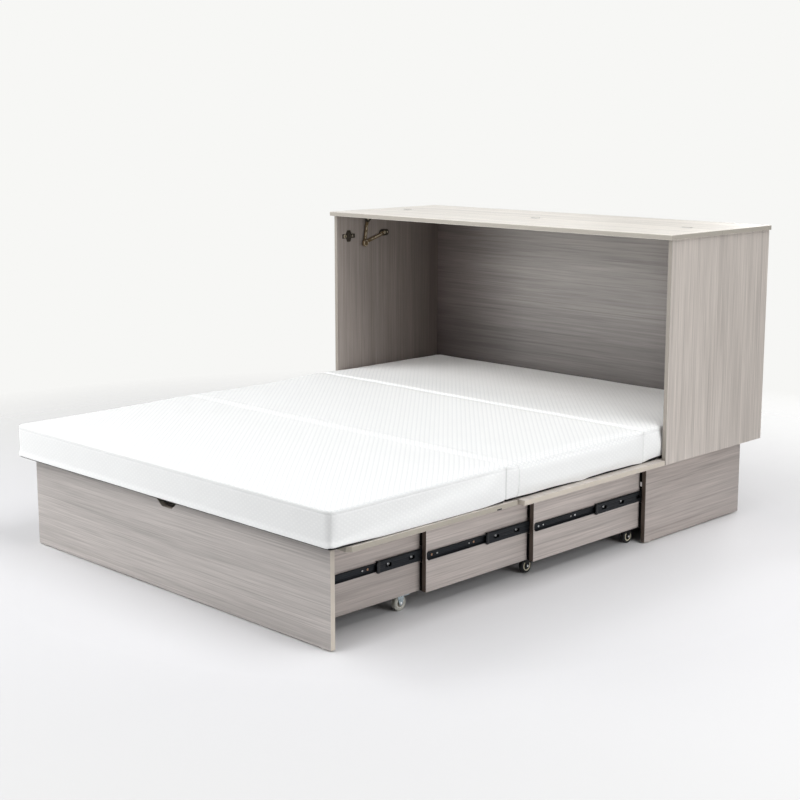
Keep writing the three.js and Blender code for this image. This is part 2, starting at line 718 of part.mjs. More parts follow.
// A crowned cushion: rings up its underside, sides and top, closed at both middles.
function cushion(half_x, half_y, bottom, top) {
  const r = mattress_edge_radius;
  const shoulder = top - mattress_crown;
  const reach = half_y - 2 * r;
  const edge_angles = mattress_edge_shares.map((share) => (share * Math.PI) / 2);
  const ring = (inset, z, draw = 0) => {
    const corner = Math.max(mattress_corner_radius - inset, r);
    return cushionRing(half_x - inset, half_y - inset, corner, draw, z);
  };
  const edge = (angle, z) => ring(r * (1 - Math.sin(angle)), z);
  const crown = (share) => mattress_crown * Math.sin((share * Math.PI) / 2);
  const rings = [
    ...mattress_cap_shares.toReversed().map((share) => ring(r + share * reach, bottom)),
    ...edge_angles.map((angle) => edge(angle, bottom + r * (1 - Math.cos(angle)))),
    ring(0, (bottom + shoulder) / 2, mattress_side_draw),
    ...edge_angles.toReversed().map((angle) => edge(angle, shoulder - r * (1 - Math.cos(angle)))),
    ...mattress_cap_shares.map((share) => ring(r + share * reach, shoulder + crown(share))),
  ];
  const count = rings[0].length;
  const vertices = [...rings.flat(), [0, 0, bottom], [0, 0, top]];
  const faces = [];
  for (let level = 0; level < rings.length - 1; level += 1) {
    for (let i = 0; i < count; i += 1) {
      const a = level * count + i;
      const b = level * count + ((i + 1) % count);
      faces.push(a, b, b + count, a, b + count, a + count);
    }
  }
  const last = (rings.length - 1) * count;
  for (let i = 0; i < count; i += 1) {
    const next = (i + 1) % count;
    faces.push(rings.length * count, next, i);
    faces.push(rings.length * count + 1, last + i, last + next);
  }
  const geometry = new THREE.BufferGeometry();
  geometry.setAttribute("position", new THREE.Float32BufferAttribute(vertices.flat(), 3));
  geometry.setIndex(faces);
  return geometry;
}

// A section of the mattress over a range of y.
const mattressSection = (y) =>
  cushion(mattress_half, span(y) / 2, mattress_bottom, mattress_top).translate(0, middle(y), 0);

// The dent that a hinge's barrel presses into the mattress over it.
function hingeDent(hinge_length, axis_y) {
  const { width, depth } = mattress_groove;
  const z = [mattress_bottom - cut_overrun, mattress_bottom + depth];
  return block([-hinge_length / 2, hinge_length / 2], [axis_y - width / 2, axis_y + width / 2], z);
}

// The three sections of the folding mattress, each on the board that carries it. Its seams
// lie in front of the boards' joints, so a section laps over the joint before it.
function addMattress(bed, head, foot) {
  const front_seam = joint_axis.y - mattress_joint_lead;
  const rear_seam = deck_axis.y - mattress_deck_lead;
  const seam_half = mattress_joint_gap / 2;
  const foot_y = [foot_board_front - mattress_foot_overhang, front_seam - seam_half];
  const middle_y = [front_seam + seam_half, rear_seam - seam_half];
  const head_y = [rear_seam + seam_half, back_front - mattress_rear_gap];
  const head_section = cut(mattressSection(head_y), hingeDent(deck_strip_length, deck_axis.y));
  const middle_dent = hingeDent(joint_strip_length, joint_axis.y);
  const middle_section = cut(mattressSection(middle_y), middle_dent);
  const foot_section = mattressSection(foot_y);
  place(bed, "mattress_head", head_section, fabric_white);
  place(head, "mattress_middle", middle_section, fabric_white, 0, -deck_axis.y, -deck_axis.z);
  place(foot, "mattress_foot", foot_section, fabric_white, 0, -joint_axis.y, -joint_axis.z);
  return foot_y[0];
}

const part = new THREE.Group();
const bed = inner(part);
const flap = inner(bed, 0, flap_axis.y, flap_axis.z);
const head = inner(bed, 0, deck_axis.y, deck_axis.z);
const foot = inner(bed, 0, joint_axis.y, joint_axis.z);
addCabinet(bed);
addTop(bed, flap);
addStays(bed, flap);
addPlatform(head, foot);

const base_box = { group: bed, inner_x: base_inner_half, rail_front: base_rail_front };
const box_a = addFrame(base_box, "stage_a", frame_a, true);
const box_b = addFrame(box_a, "stage_b", frame_b, true);
const box_c = addFrame(box_b, "stage_c", frame_c, false);
addFootPanel(box_c.group);

const bed_front = addMattress(bed, head, foot);
bed.position.y = -(bed_front + cabinet_depth) / 2;

export default part;
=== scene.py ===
"""The looks of a folding cabinet bed: woodgrain boards, ball-bearing slides, casters, lid
stays and a knitted mattress in three sections, all in metres in the CAD frame."""

import math
from types import SimpleNamespace

import bmesh
import bpy
from mathutils import Matrix, Vector, noise


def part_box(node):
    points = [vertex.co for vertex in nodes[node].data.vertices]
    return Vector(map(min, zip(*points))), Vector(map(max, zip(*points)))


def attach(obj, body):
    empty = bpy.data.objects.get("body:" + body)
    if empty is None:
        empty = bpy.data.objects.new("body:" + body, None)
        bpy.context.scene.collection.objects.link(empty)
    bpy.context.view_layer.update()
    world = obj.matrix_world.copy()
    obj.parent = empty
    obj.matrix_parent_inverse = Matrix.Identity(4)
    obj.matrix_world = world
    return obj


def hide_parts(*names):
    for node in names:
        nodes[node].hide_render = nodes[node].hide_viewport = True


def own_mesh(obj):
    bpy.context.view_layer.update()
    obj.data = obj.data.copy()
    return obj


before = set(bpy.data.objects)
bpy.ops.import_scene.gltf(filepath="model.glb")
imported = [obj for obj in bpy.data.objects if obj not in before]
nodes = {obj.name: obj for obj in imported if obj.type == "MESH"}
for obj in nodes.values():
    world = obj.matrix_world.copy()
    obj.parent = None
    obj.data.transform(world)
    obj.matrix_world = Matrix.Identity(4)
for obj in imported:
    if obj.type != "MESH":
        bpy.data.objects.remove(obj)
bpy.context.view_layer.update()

# The camera of the photograph.
camera_place = (3.4797, -3.4949, 1.4167)
camera_forward = (-0.6938, 0.6984, -0.1755)
camera_lens = 66.4
camera_shift = -0.03125

# Boards: their thickness and edges, and where the cabinet's and frames' boards and the
# hinges lie.
board = 0.016
bevel = 0.0007
board_bevel = 0.0009
smooth_angle = math.radians(38)
side_signs = {"left": -1, "right": 1}
base_half = 0.717
base_inner = 0.701
base_front = 0.4395
base_bottom = 0.004
foot_face = -0.9745
back_face = 1.0185
rail_bottom = 0.052
rail_top = 0.2817
board_joint = -0.2755
deck_joint = 0.4385
lid_seam = 0.7145

# Slides: the height of their axis, and each member's half height and depth.
slide_height = 0.162
slide_wall = 0.0012
slide_bend = 0.0032
outer_member = (0.0225, 0.0096)
middle_member = (0.0178, 0.0086)
inner_member = (0.0133, 0.0074)
ball_radius = 0.0017
ball_pitch = 0.0105
ball_row = 0.09
slide_lift = Matrix.Translation((0, 0, slide_height))
hole_inset = 0.03
# How far the gaps' black painted-shadow strips keep clear of the slide's axis.
gap_shadow_clearance = 0.025

# Casters.
wheel_radius = 0.0235
wheel_half = 0.0085
fork_gap = 0.0009
fork_wall = 0.0016
fork_plate = 0.0025

# The mattress.
corner_radius = 0.024
joint_corner_radius = 0.006
edge_radius = 0.007
joint_edge_radius = 0.006
lower_radius = 0.007
grid_pitch = 0.013
band_level = 0.0025
seam_depth = 0.0125
puff_cap = 0.0045
dent_height = 0.0045
foot_lift = 0.003
diamond = (0.02, 0.014)
top_stretch = 0.65
side_reach = 0.012
top_reach = 0.012
dent_reach = 0.016
crease_width = 0.0016
lift_height = 0.03
proud = 0.006
held_end = 0.004
held_base = 0.012
cloth_frames = 20
cloth_settings = {
    "quality": 5, "mass": 0.3, "tension_stiffness": 12, "compression_stiffness": 12,
    "shear_stiffness": 4, "bending_stiffness": 0.6, "use_pressure": True,
    "uniform_pressure_force": 4, "vertex_group_mass": "held",
}


def srgb(red, green, blue):
    """A picture's colour, 0 to 255, in the linear values that a shader takes."""
    shares = [value / 255 for value in (red, green, blue)]
    linear = [s / 12.92 if s <= 0.04045 else ((s + 0.055) / 1.055) ** 2.4 for s in shares]
    return (*linear, 1.0)


class Material:
    """A principled material and the nodes that feed it."""

    def __init__(self, name, colour, roughness, metallic=0.0, **more):
        self.material = bpy.data.materials.new(name)
        self.material.use_nodes = True
        self.tree = self.material.node_tree
        self.shader = self.tree.nodes["Principled BSDF"]
        more |= {"Base_Color": colour, "Roughness": roughness, "Metallic": metallic}
        for socket, value in more.items():
            self.shader.inputs[socket.replace("_", " ")].default_value = value

    def node(self, kind, inputs, **settings):
        made = self.tree.nodes.new("ShaderNode" + kind)
        for name, value in settings.items():
            setattr(made, name, value)
        for socket, value in inputs.items():
            if isinstance(value, bpy.types.NodeSocket):
                self.tree.links.new(value, made.inputs[socket])
            else:
                made.inputs[socket].default_value = value
        return made

    def coordinates(self, kind="Object"):
        return self.tree.nodes.new("ShaderNodeTexCoord").outputs[kind]

    def math(self, operation, *values):
        return self.node("Math", dict(enumerate(values)), operation=operation).outputs[0]

    def split(self, vector):
        return self.node("SeparateXYZ", {0: vector}).outputs

    def noise(self, vector, scale, detail, roughness=0.55):
        """Noise over coordinates that are multiplied by a scale for each axis."""
        inputs = {0: vector, 1: scale}
        spread = self.node("VectorMath", inputs, operation="MULTIPLY").outputs[0]
        inputs = {"Vector": spread, "Scale": 1.0, "Detail": detail, "Roughness": roughness}
        return self.node("TexNoise", inputs).outputs[0]

    def mix(self, share, first, second, **settings):
        inputs = {0: share, 6: first, 7: second}
        return self.node("Mix", inputs, data_type="RGBA", **settings).outputs[2]

    def ramp(self, value, *stops):
        made = self.node("ValToRGB", {0: value})
        elements = made.color_ramp.elements
        while len(elements) < len(stops):
            elements.new(1.0)
        for element, (position, colour) in zip(elements, stops):
            element.position = position
            element.color = colour
        return made.outputs[0]

    def between(self, value, low, high, first=0.0, last=1.0):
        inputs = {0: value, 1: low, 2: high, 3: first, 4: last}
        return self.node("MapRange", inputs).outputs[0]

    def feed(self, socket, source):
        self.tree.links.new(source, self.shader.inputs[socket])

    def bump(self, height, distance, strength):
        inputs = {"Height": height, "Distance": distance, "Strength": strength}
        self.feed("Normal", self.node("Bump", inputs).outputs[0])


def toned(colour, share):
    return (*(value * share for value in colour[:3]), 1.0)


def laminate(name, grain, thin, tone, edge, pitch=1.0, front=None, painted_inside_shade=(), rise=None):
    """Woodgrain foil: streaks along the grain, plain banding on the board's narrow edges,
    another banding on the edges that face the bed's foot, and painted shade on the inner faces,
    deepening from one place to another along an axis. The tone may grow lighter upwards, a
    painted light for the boards' upper parts."""
    made = Material("laminate_" + name, tone, 0.5)
    place = made.coordinates()
    spot = made.split(place)
    normal = made.split(made.coordinates("Normal"))

    def lines(across, along, *detail):
        scale = [along if axis == grain else across for axis in range(3)]
        return made.noise(place, scale, *detail)

    streak = lines(230 * pitch, 3.2, 3.0, 0.6)
    hair = lines(620 * pitch, 9.0, 2.0)
    band = lines(26, 0.9, 2.0)
    vein = lines(340 * pitch, 2.1, 1.0)
    figure = made.math("ADD", made.math("MULTIPLY", streak, 0.5), made.math("MULTIPLY", hair, 0.2))
    figure = made.math("ADD", figure, made.math("MULTIPLY", band, 0.3))
    stops = ((0.36, 0.74), (0.46, 0.91), (0.54, 1.04), (0.64, 1.22))
    wood = made.ramp(figure, *((level, toned(tone, share)) for level, share in stops))
    wood = made.mix(made.between(vein, 0.6, 0.68, 0.0, 0.45), wood, toned(tone, 0.62))
    inward = made.math("LESS_THAN", made.math("MULTIPLY", spot[thin], normal[thin]), -0.1)
    # Painted shade on the inner faces, deepening along each given axis.
    for axis, near, far, near_tone, far_tone in painted_inside_shade:
        reach = made.math("ABSOLUTE", spot[axis])
        shade = made.mix(made.between(reach, near, far), near_tone, far_tone)
        wood = made.mix(inward, wood, shade, blend_type="MULTIPLY")
    # Painted light: the tone grows lighter from the boards' lower edge up to their upper edge.
    if rise is not None:
        share = made.between(spot[2], 0.05, 0.27, *rise)
        wood = made.node("VectorMath", {0: wood, "Scale": share}, operation="SCALE").outputs[0]
    narrow = made.math("LESS_THAN", made.math("ABSOLUTE", normal[thin]), 0.6)
    fleck = made.noise(place, (55, 55, 55), 2.0)
    strip = made.mix(fleck, toned(edge, 0.94), toned(edge, 1.05))
    if front is not None:
        strip = made.mix(made.math("LESS_THAN", normal[1], -0.6), strip, front)
    made.feed("Base Color", made.mix(narrow, wood, strip))
    made.feed("Roughness", made.between(streak, 0.3, 0.7, 0.44, 0.56))
    made.bump(streak, 0.00012, 0.6)
    return made.material


def steel(name, colour, roughness, metallic, grooves=()):
    """Plated or painted sheet steel: cloudy gloss, and pressed lines at given heights."""
    made = Material(name, colour, roughness, metallic)
    place = made.coordinates()
    cloud = made.noise(place, (90, 90, 90), 4.0)
    made.feed("Base Color", made.mix(cloud, toned(colour, 0.84), toned(colour, 1.16)))
    made.feed("Roughness", made.between(cloud, 0.3, 0.7, roughness - 0.06, roughness + 0.08))
    height = made.math("MULTIPLY", made.noise(place, (900, 120, 900), 2.0), 0.12)
    for level in grooves:
        off = made.math("ABSOLUTE", made.math("SUBTRACT", made.split(place)[2], level))
        height = made.math("SUBTRACT", height, made.between(off, 0.0004, 0.0016, 1.0, 0.0))
    made.bump(height, 0.0006, 0.9)
    return made.material


def plastic(name, colour, roughness, **more):
    """Moulded plastic or rubber: a faint cloud in its colour and a fine matt grain."""
    made = Material(name, colour, roughness, **more)
    place = made.coordinates()
    cloud = made.noise(place, (60, 60, 60), 3.0)
    made.feed("Base Color", made.mix(cloud, toned(colour, 0.92), toned(colour, 1.06)))
    made.bump(made.noise(place, (1500, 1500, 1500), 2.0), 0.0001, 0.5)
    return made.material


def knit(name, colour, shade):
    """Jacquard knit: rows of small diamonds with soft ridges and painted shade in their grooves,
    weaker on the sides, over a fine loop texture. It is painted whiter under the flap, a
    painted light where the flap shades it."""
    made = Material(name, colour, 0.82, Sheen_Weight=0.15, Sheen_Roughness=0.5)
    cloth = made.coordinates("UV")
    place = made.split(cloth)
    across = made.math("MULTIPLY", place[0], math.pi / diamond[0])
    up = made.math("MULTIPLY", place[1], math.pi / diamond[1])
    diagonals = [made.math("ADD", across, up), made.math("SUBTRACT", across, up)]
    waves = [made.math("ABSOLUTE", made.math("SINE", turn)) for turn in diagonals]
    pillow = made.math("POWER", made.math("MINIMUM", *waves), 0.45)
    loops = made.noise(cloth, (1400, 900, 1), 2.0)
    soft = made.noise(cloth, (9, 9, 1), 3.0)
    worn = made.mix(made.between(soft, 0.3, 0.7), toned(colour, 0.985), colour)
    # The diamonds' grooves take the shade colour: painted shade, fainter where the surface faces
    # sideways.
    stretched = made.between(made.split(made.coordinates("Normal"))[2], 0.3, 0.6, 0.78, 0.0)
    pillow = made.math("MAXIMUM", pillow, stretched)
    plain = made.mix(pillow, shade, worn)
    # Painted light: the cover is whiter towards the head, where the flap shades it.
    deep = made.between(made.split(made.coordinates())[1], 0.44, 0.66, 0.0, 0.8)
    made.feed("Base Color", made.mix(deep, plain, srgb(255, 255, 255)))
    made.bump(made.math("MULTIPLY_ADD", loops, 0.2, pillow), 0.001, 0.6)
    return made.material


face_tone = srgb(196, 188, 181)
# low_tone is a darker copy of the same wood for the base's boards and the innermost frame's:
# painted shade for their place under the boards above.
low_tone = srgb(175, 166, 161)
mid_tone = srgb(187, 178, 173)
cross_tone = srgb(184, 178, 174)
lid_tone = srgb(237, 232, 224)
banding = srgb(157, 150, 141)
pale_banding = srgb(202, 193, 181)
olive_banding = srgb(172, 165, 153)
lid_banding = srgb(172, 166, 156)
dark_banding = srgb(84, 71, 62)
# Painted shade on the cabinet's inner faces: the side panels darker towards the back, the back
# panel darker towards both ends and towards the bottom.
side_painted_shade = ((1, 0.46, 1.0, (0.62, 0.60, 0.60, 1.0), (0.26, 0.235, 0.23, 1.0)),)
back_painted_shade = (
    (0, 0.3, 0.776, (0.70, 0.72, 0.75, 1.0), (0.28, 0.245, 0.255, 1.0)),
    (2, 0.4, 0.8, (0.36, 0.35, 0.35, 1.0), (1.0, 1.0, 1.0, 1.0)),
)

upright = laminate("upright", 2, 0, face_tone, banding, painted_inside_shade=side_painted_shade)
back_wood = laminate("back", 0, 1, face_tone, banding, 0.6, painted_inside_shade=back_painted_shade)
lid_wood = laminate("lid", 0, 2, lid_tone, lid_banding)
deck_wood = laminate("deck", 0, 2, face_tone, pale_banding)
foot_wood = laminate("foot_board", 0, 2, face_tone, olive_banding)
low_side = laminate("low_side", 1, 0, low_tone, pale_banding, 0.7, dark_banding,
                    rise=(0.95, 1.16))
mid_side = laminate("mid_side", 1, 0, mid_tone, pale_banding, 0.7, dark_banding,
                    rise=(0.97, 1.16))
cross_wood = laminate("cross", 0, 1, cross_tone, pale_banding)

slide_black = steel("slide_black", srgb(38, 41, 45), 0.36, 0.75, (0.1566, 0.1674))
zinc = steel("zinc", srgb(236, 237, 238), 0.3, 0.4)
fork_zinc = steel("fork_zinc", srgb(178, 192, 198), 0.3, 0.6)
hinge_steel = steel("hinge_steel", srgb(204, 201, 196), 0.4, 0.55)
copper = steel("copper_screw", srgb(208, 162, 130), 0.34, 0.6)
bronze = steel("stay_bronze", srgb(122, 104, 78), 0.36, 0.75)
dark_bronze = steel("stay_dark", srgb(66, 60, 52), 0.42, 0.6)
bright_bronze = steel("stay_bright", srgb(222, 211, 188), 0.28, 0.7)
fork_black = steel("fork_black", srgb(26, 26, 27), 0.45, 0.3)
black_rubber = plastic("black_rubber", srgb(22, 22, 23), 0.5)
black_plastic = plastic("black_plastic", srgb(16, 16, 17), 0.4)
gap_shadow_black = plastic("gap_shadow_black", srgb(12, 12, 12), 0.95, Specular_IOR_Level=0.1)
cream_plastic = plastic("cream_plastic", srgb(214, 206, 182), 0.42)
grey_tyre = plastic("grey_tyre", srgb(186, 185, 176), 0.32, Transmission_Weight=0.25)
grey_hub = plastic("grey_hub", srgb(150, 144, 132), 0.4)
pale_plastic = plastic("pale_plastic", srgb(214, 212, 205), 0.45)
white_knit = knit("white_knit", srgb(245, 246, 245), srgb(220, 222, 224))
seam_thread = plastic("seam_thread", srgb(236, 237, 237), 0.8)
# The dark underside cloth, which also makes the painted shadow line round the mattress's lower
# edge.
underside_and_shadow_cloth = plastic("underside_and_shadow_cloth", srgb(22, 21, 21), 0.9)


# CAD nodes that keep their shape and take a finer material, by a part of their names.
kept = {
    "side_panel": upright,
    "back_panel": back_wood,
    "top_": lid_wood,
    "cabinet_deck": deck_wood,
    "platform_board_head": deck_wood,
    "platform_board_foot": foot_wood,
    "rear_rail": cross_wood,
    "hinge": hinge_steel,
    "flap_leaf": hinge_steel,
    "_arm_": bronze,
    "stay_bracket": dark_bronze,
    "stay_foot": dark_bronze,
}
for part, material in kept.items():
    for node in [nodes[name] for name in nodes if part in name]:
        for slot in node.material_slots:
            slot.material = material

# What a caster is made of: its fork, tyre, hub and ring, and its wheel's slot.
pale_caster = (fork_zinc, grey_tyre, grey_hub, pale_plastic, "wheel_grey")
dark_caster = (fork_black, black_rubber, black_plastic, cream_plastic, "wheel_black")

# The sliding frames, from the base inwards: what carries each, where the carrier's inner face
# and front end lie, its own boards' outer face, ends and wood, the ends of the slide's three
# members, which screws of the inner one are copper, and its caster's place and kind.
frames = {
    "a": SimpleNamespace(
        carrier="cabinet", carrier_face=base_inner, carrier_front=base_front,
        face=0.688, ends=(-0.1035, 0.4485), wood=mid_side,
        outer=(0.4425, 0.9895), middle=(0.194, 0.716), inner=(-0.1005, 0.4445),
        copper=(), wheel=(0.662, 0.4125), caster=dark_caster,
    ),
    "b": SimpleNamespace(
        carrier="frame_a", carrier_face=0.672, carrier_front=-0.1035,
        face=0.659, ends=(-0.5495, -0.0295), wood=mid_side,
        outer=(-0.1005, 0.4285), middle=(-0.3005, 0.2035), inner=(-0.5465, -0.0335),
        copper=(0.020, 0.200), wheel=(0.633, -0.0755), caster=dark_caster,
    ),
    "c": SimpleNamespace(
        carrier="frame_b", carrier_face=0.643, carrier_front=-0.5495,
        face=0.630, ends=(-0.9585, -0.4785), wood=low_side,
        outer=(-0.5465, -0.0495), middle=(-0.728, -0.256), inner=(-0.9555, -0.4825),
        copper=(0.200,), wheel=(0.604, -0.6065), caster=pale_caster,
    ),
}


def mesh_of(name, shape, materials=()):
    """A mesh made from a shape, which is used up."""
    mesh = bpy.data.meshes.new(name)
    shape.to_mesh(mesh)
    shape.free()
    for material in materials:
        mesh.materials.append(material)
    return mesh


def in_scene(name, data):
    item = bpy.data.objects.new(name, data)
    bpy.context.scene.collection.objects.link(item)
    return item


def face_outwards(shape):
    bmesh.ops.recalc_face_normals(shape, faces=shape.faces[:])


def box(low, high, rounding=bevel, segments=2):
    shape = bmesh.new()
    low, high = Vector(low), Vector(high)
    bmesh.ops.create_cube(shape, size=1.0)
    bmesh.ops.scale(shape, verts=shape.verts, vec=high - low)
    bmesh.ops.translate(shape, verts=shape.verts, vec=(low + high) / 2)
    if rounding:
        soften(shape, shape.edges[:], rounding, segments)
    return shape


def soften(shape, edges, rounding, segments=2):
    bmesh.ops.bevel(shape, geom=edges, offset=rounding, segments=segments, profile=0.5,
                    affect="EDGES", clamp_overlap=True)


def prism(outlines, thickness, rounding=0.0):
    """A plate in the local XY plane from z = 0 up. The first outline is its edge and the
    others are holes through it."""
    shape = bmesh.new()
    edges = []
    for points in outlines:
        verts = [shape.verts.new((x, y, 0.0)) for x, y in points]
        edges += [shape.edges.new((verts[i - 1], verts[i])) for i in range(len(verts))]
    bmesh.ops.triangle_fill(shape, use_beauty=True, use_dissolve=False, edges=edges)
    raised = bmesh.ops.extrude_face_region(shape, geom=shape.faces[:])["geom"]
    verts = [item for item in raised if isinstance(item, bmesh.types.BMVert)]
    bmesh.ops.translate(shape, verts=verts, vec=(0.0, 0.0, thickness))
    face_outwards(shape)
    if rounding:
        rims = [edge for edge in shape.edges if edge.calc_face_angle(0.0) > 1.0]
        soften(shape, rims, rounding, 1)
    return shape


def lathe(profile, segments=36, closed=False):
    """A solid turned about the local Z axis from (radius, height) points."""
    shape = bmesh.new()
    rings = []
    for radius, height in profile:
        count = segments if radius else 1
        turns = [2 * math.pi * i / segments for i in range(count)]
        points = [(radius * math.cos(t), radius * math.sin(t), height) for t in turns]
        rings.append([shape.verts.new(point) for point in points])
    following = rings[1:] + rings[:1] if closed else rings[1:]
    for lower, upper in zip(rings, following):
        for i in range(segments):
            after = (i + 1) % segments
            ring = (lower[i % len(lower)], lower[after % len(lower)],
                    upper[after % len(upper)], upper[i % len(upper)])
            corners = list(dict.fromkeys(ring))
            if len(corners) > 2:
                shape.faces.new(corners)
    face_outwards(shape)
    return shape


def both_halves(profile):
    """A turned shape's profile, followed by its own reflection."""
    return profile + [(radius, -height) for radius, height in profile[::-1]]


def arc(centre, radius, start, end, steps):
    turns = [start + (end - start) * i / steps for i in range(steps + 1)]
    return [(centre[0] + radius * math.cos(t), centre[1] + radius * math.sin(t)) for t in turns]


def rounded(low, high, radius, steps=5):
    """A rectangle with round corners, anticlockwise."""
    (left, bottom), (right, top) = low, high
    points = []
    corners = ((right, top), (left, top), (left, bottom), (right, bottom))
    for number, (x, y) in enumerate(corners):
        centre = (x - radius if x == right else x + radius, y - radius if y == top else y + radius)
        start = number * math.pi / 2
        points += arc(centre, radius, start, start + math.pi / 2, steps)
    return points


def capsule(start, end, radius, steps=8):
    """The outline of an arm with round ends between two points."""
    turn = math.atan2(end[1] - start[1], end[0] - start[0])
    quarter = math.pi / 2
    far = arc(end, radius, turn - quarter, turn + quarter, steps)
    return far + arc(start, radius, turn + quarter, turn + 3 * quarter, steps)


def ribbon(points, thickness):
    """The outline of a folded strip of the given thickness along a line of points."""
    count = len(points)
    near, far = [], []
    for i, (x, y) in enumerate(points):
        before, after = points[max(i - 1, 0)], points[min(i + 1, count - 1)]
        run = Vector((after[0] - before[0], after[1] - before[1])).normalized()
        near.append((x - run.y * thickness / 2, y + run.x * thickness / 2))
        far.append((x + run.y * thickness / 2, y - run.x * thickness / 2))
    return near + far[::-1]


def standing(x, facing=1):
    """Puts a local plate in the YZ plane: local X along Y, local Y up, its thickness out."""
    return Matrix(((0, 0, facing, x), (1, 0, 0, 0), (0, 1, 0, 0), (0, 0, 0, 1)))


def facing_y(y):
    """Puts a local plate in the XZ plane, with its thickness along Y."""
    return Matrix(((1, 0, 0, 0), (0, 0, 1, y), (0, 1, 0, 0), (0, 0, 0, 1)))


def turned(axis, place):
    """Points a turned shape's local Z along an axis, from a place."""
    return Matrix.Translation(place) @ Vector(axis).to_track_quat("Z", "Y").to_matrix().to_4x4()


class Piece:
    """One object built up of shapes, each with its own material. It is built for the right
    side and turned over for the left."""

    def __init__(self, name, body, *materials, side="right"):
        self.name = name
        self.body = body
        self.materials = materials
        self.side = side
        self.mesh = bmesh.new()

    def take(self, shape, material=0, place=None):
        if place is not None:
            bmesh.ops.transform(shape, matrix=place, verts=shape.verts)
        for face in shape.faces:
            face.material_index = material
        scrap = mesh_of("scrap", shape)
        self.mesh.from_mesh(scrap)
        bpy.data.meshes.remove(scrap)

    def made(self, slot, *replaced):
        if self.side == "left":
            bmesh.ops.scale(self.mesh, verts=self.mesh.verts, vec=(-1.0, 1.0, 1.0))
        face_outwards(self.mesh)
        mesh = mesh_of(self.name, self.mesh, self.materials)
        mesh.shade_smooth()
        mesh.set_sharp_from_angle(angle=smooth_angle)
        item = in_scene(self.name, mesh)
        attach(item, self.body)
        if replaced:
            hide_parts(*replaced)


def screw(piece, place, axis, radius, material, recess, rise=0.55):
    """A pan-head or, with a low rise, a countersunk screw with a cross recess, on a face."""
    height = radius * rise
    profile = [(0, height), (radius * 0.45, height), (radius * 0.8, height * 0.78),
               (radius, height * 0.3), (radius, 0), (0, 0)]
    seat = turned(axis, place)
    piece.take(lathe(profile, 20), material, seat)
    for wide, deep in ((0.62, 0.11), (0.11, 0.62)):
        low = (-radius * wide, -radius * deep, height * 0.7)
        high = (radius * wide, radius * deep, height * 1.02)
        piece.take(box(low, high, 0), recess, seat)


def add_channel(piece, web_x, opening, y, member, holes=(), chamfer=0.0):
    """A folded slide channel along Y: a web with holes, and two flanges that curl in. The
    web's front corners are cut off where the member carries another frame's end."""
    half, depth = member
    middle = slide_wall / 2
    bend = slide_bend - middle
    top = half - slide_bend
    cut = max(chamfer, 0.001) * 0.4
    outline = [(y[1], top), (y[0] + cut, top), (y[0], top - cut),
               (y[0], cut - top), (y[0] + cut, -top), (y[1], -top)]
    piece.take(prism([outline, *holes], slide_wall), 0, slide_lift @ standing(web_x, opening))
    fold = [(middle, top), *arc((slide_bend, top), bend, math.pi, math.pi / 2, 5)[1:]]
    fold += [(depth * 0.62, half - middle), (depth - 0.0016, half - middle - 0.0002),
             (depth - 0.0007, half - middle - 0.0009), (depth - 0.0006, half - middle - 0.002)]
    start = y[0] + chamfer
    for up in (1, -1):
        profile = ribbon([(web_x + opening * u, up * h) for u, h in fold], slide_wall)
        piece.take(prism([profile], y[1] - start), 0, slide_lift @ facing_y(start))


def add_balls(piece, x, y, gap, steel_slot, cage_slot):
    """A row of bearing balls above and below, each half sunk in its cage."""
    count = int((y[1] - y[0]) / ball_pitch)
    for up in (1, -1):
        z = slide_height + up * gap
        cage = box((x - 0.0016, y[0], z - 0.0005), (x + 0.0016, y[1], z + 0.0005), 0)
        piece.take(cage, cage_slot)
        for i in range(count):
            ball = bmesh.new()
            bmesh.ops.create_uvsphere(ball, u_segments=10, v_segments=6, radius=ball_radius)
            place = (x, y[0] + (i + 0.5) * ball_pitch, z)
            piece.take(ball, steel_slot, Matrix.Translation(place))


def oblong_hole(y, half_length, radius):
    return capsule((y - half_length, 0.0), (y + half_length, 0.0), radius, 6)


def hole_places(y):
    """Three places along a slide member, clear of its ends."""
    return [y[0] + hole_inset + (y[1] - y[0] - 2 * hole_inset) * i / 2 for i in range(3)]


def add_outer_slide(letter, side):
    """The outer member, on the inner face of the board that carries it."""
    data = frames[letter]
    face_x, y = data.carrier_face, data.outer
    piece = Piece(f"slide_outer_{letter}_{side}", data.carrier, slide_black, zinc,
                  black_plastic, side=side)
    holes = [oblong_hole(place, 0.0035, 0.004) for place in hole_places(y)]
    add_channel(piece, face_x, -1, y, outer_member, holes)
    for place in hole_places(y):
        seat = (face_x - 0.0001, place, slide_height)
        screw(piece, seat, (-1, 0, 0), 0.0038, 1, 2, 0.3)
    piece.made("slide_black")


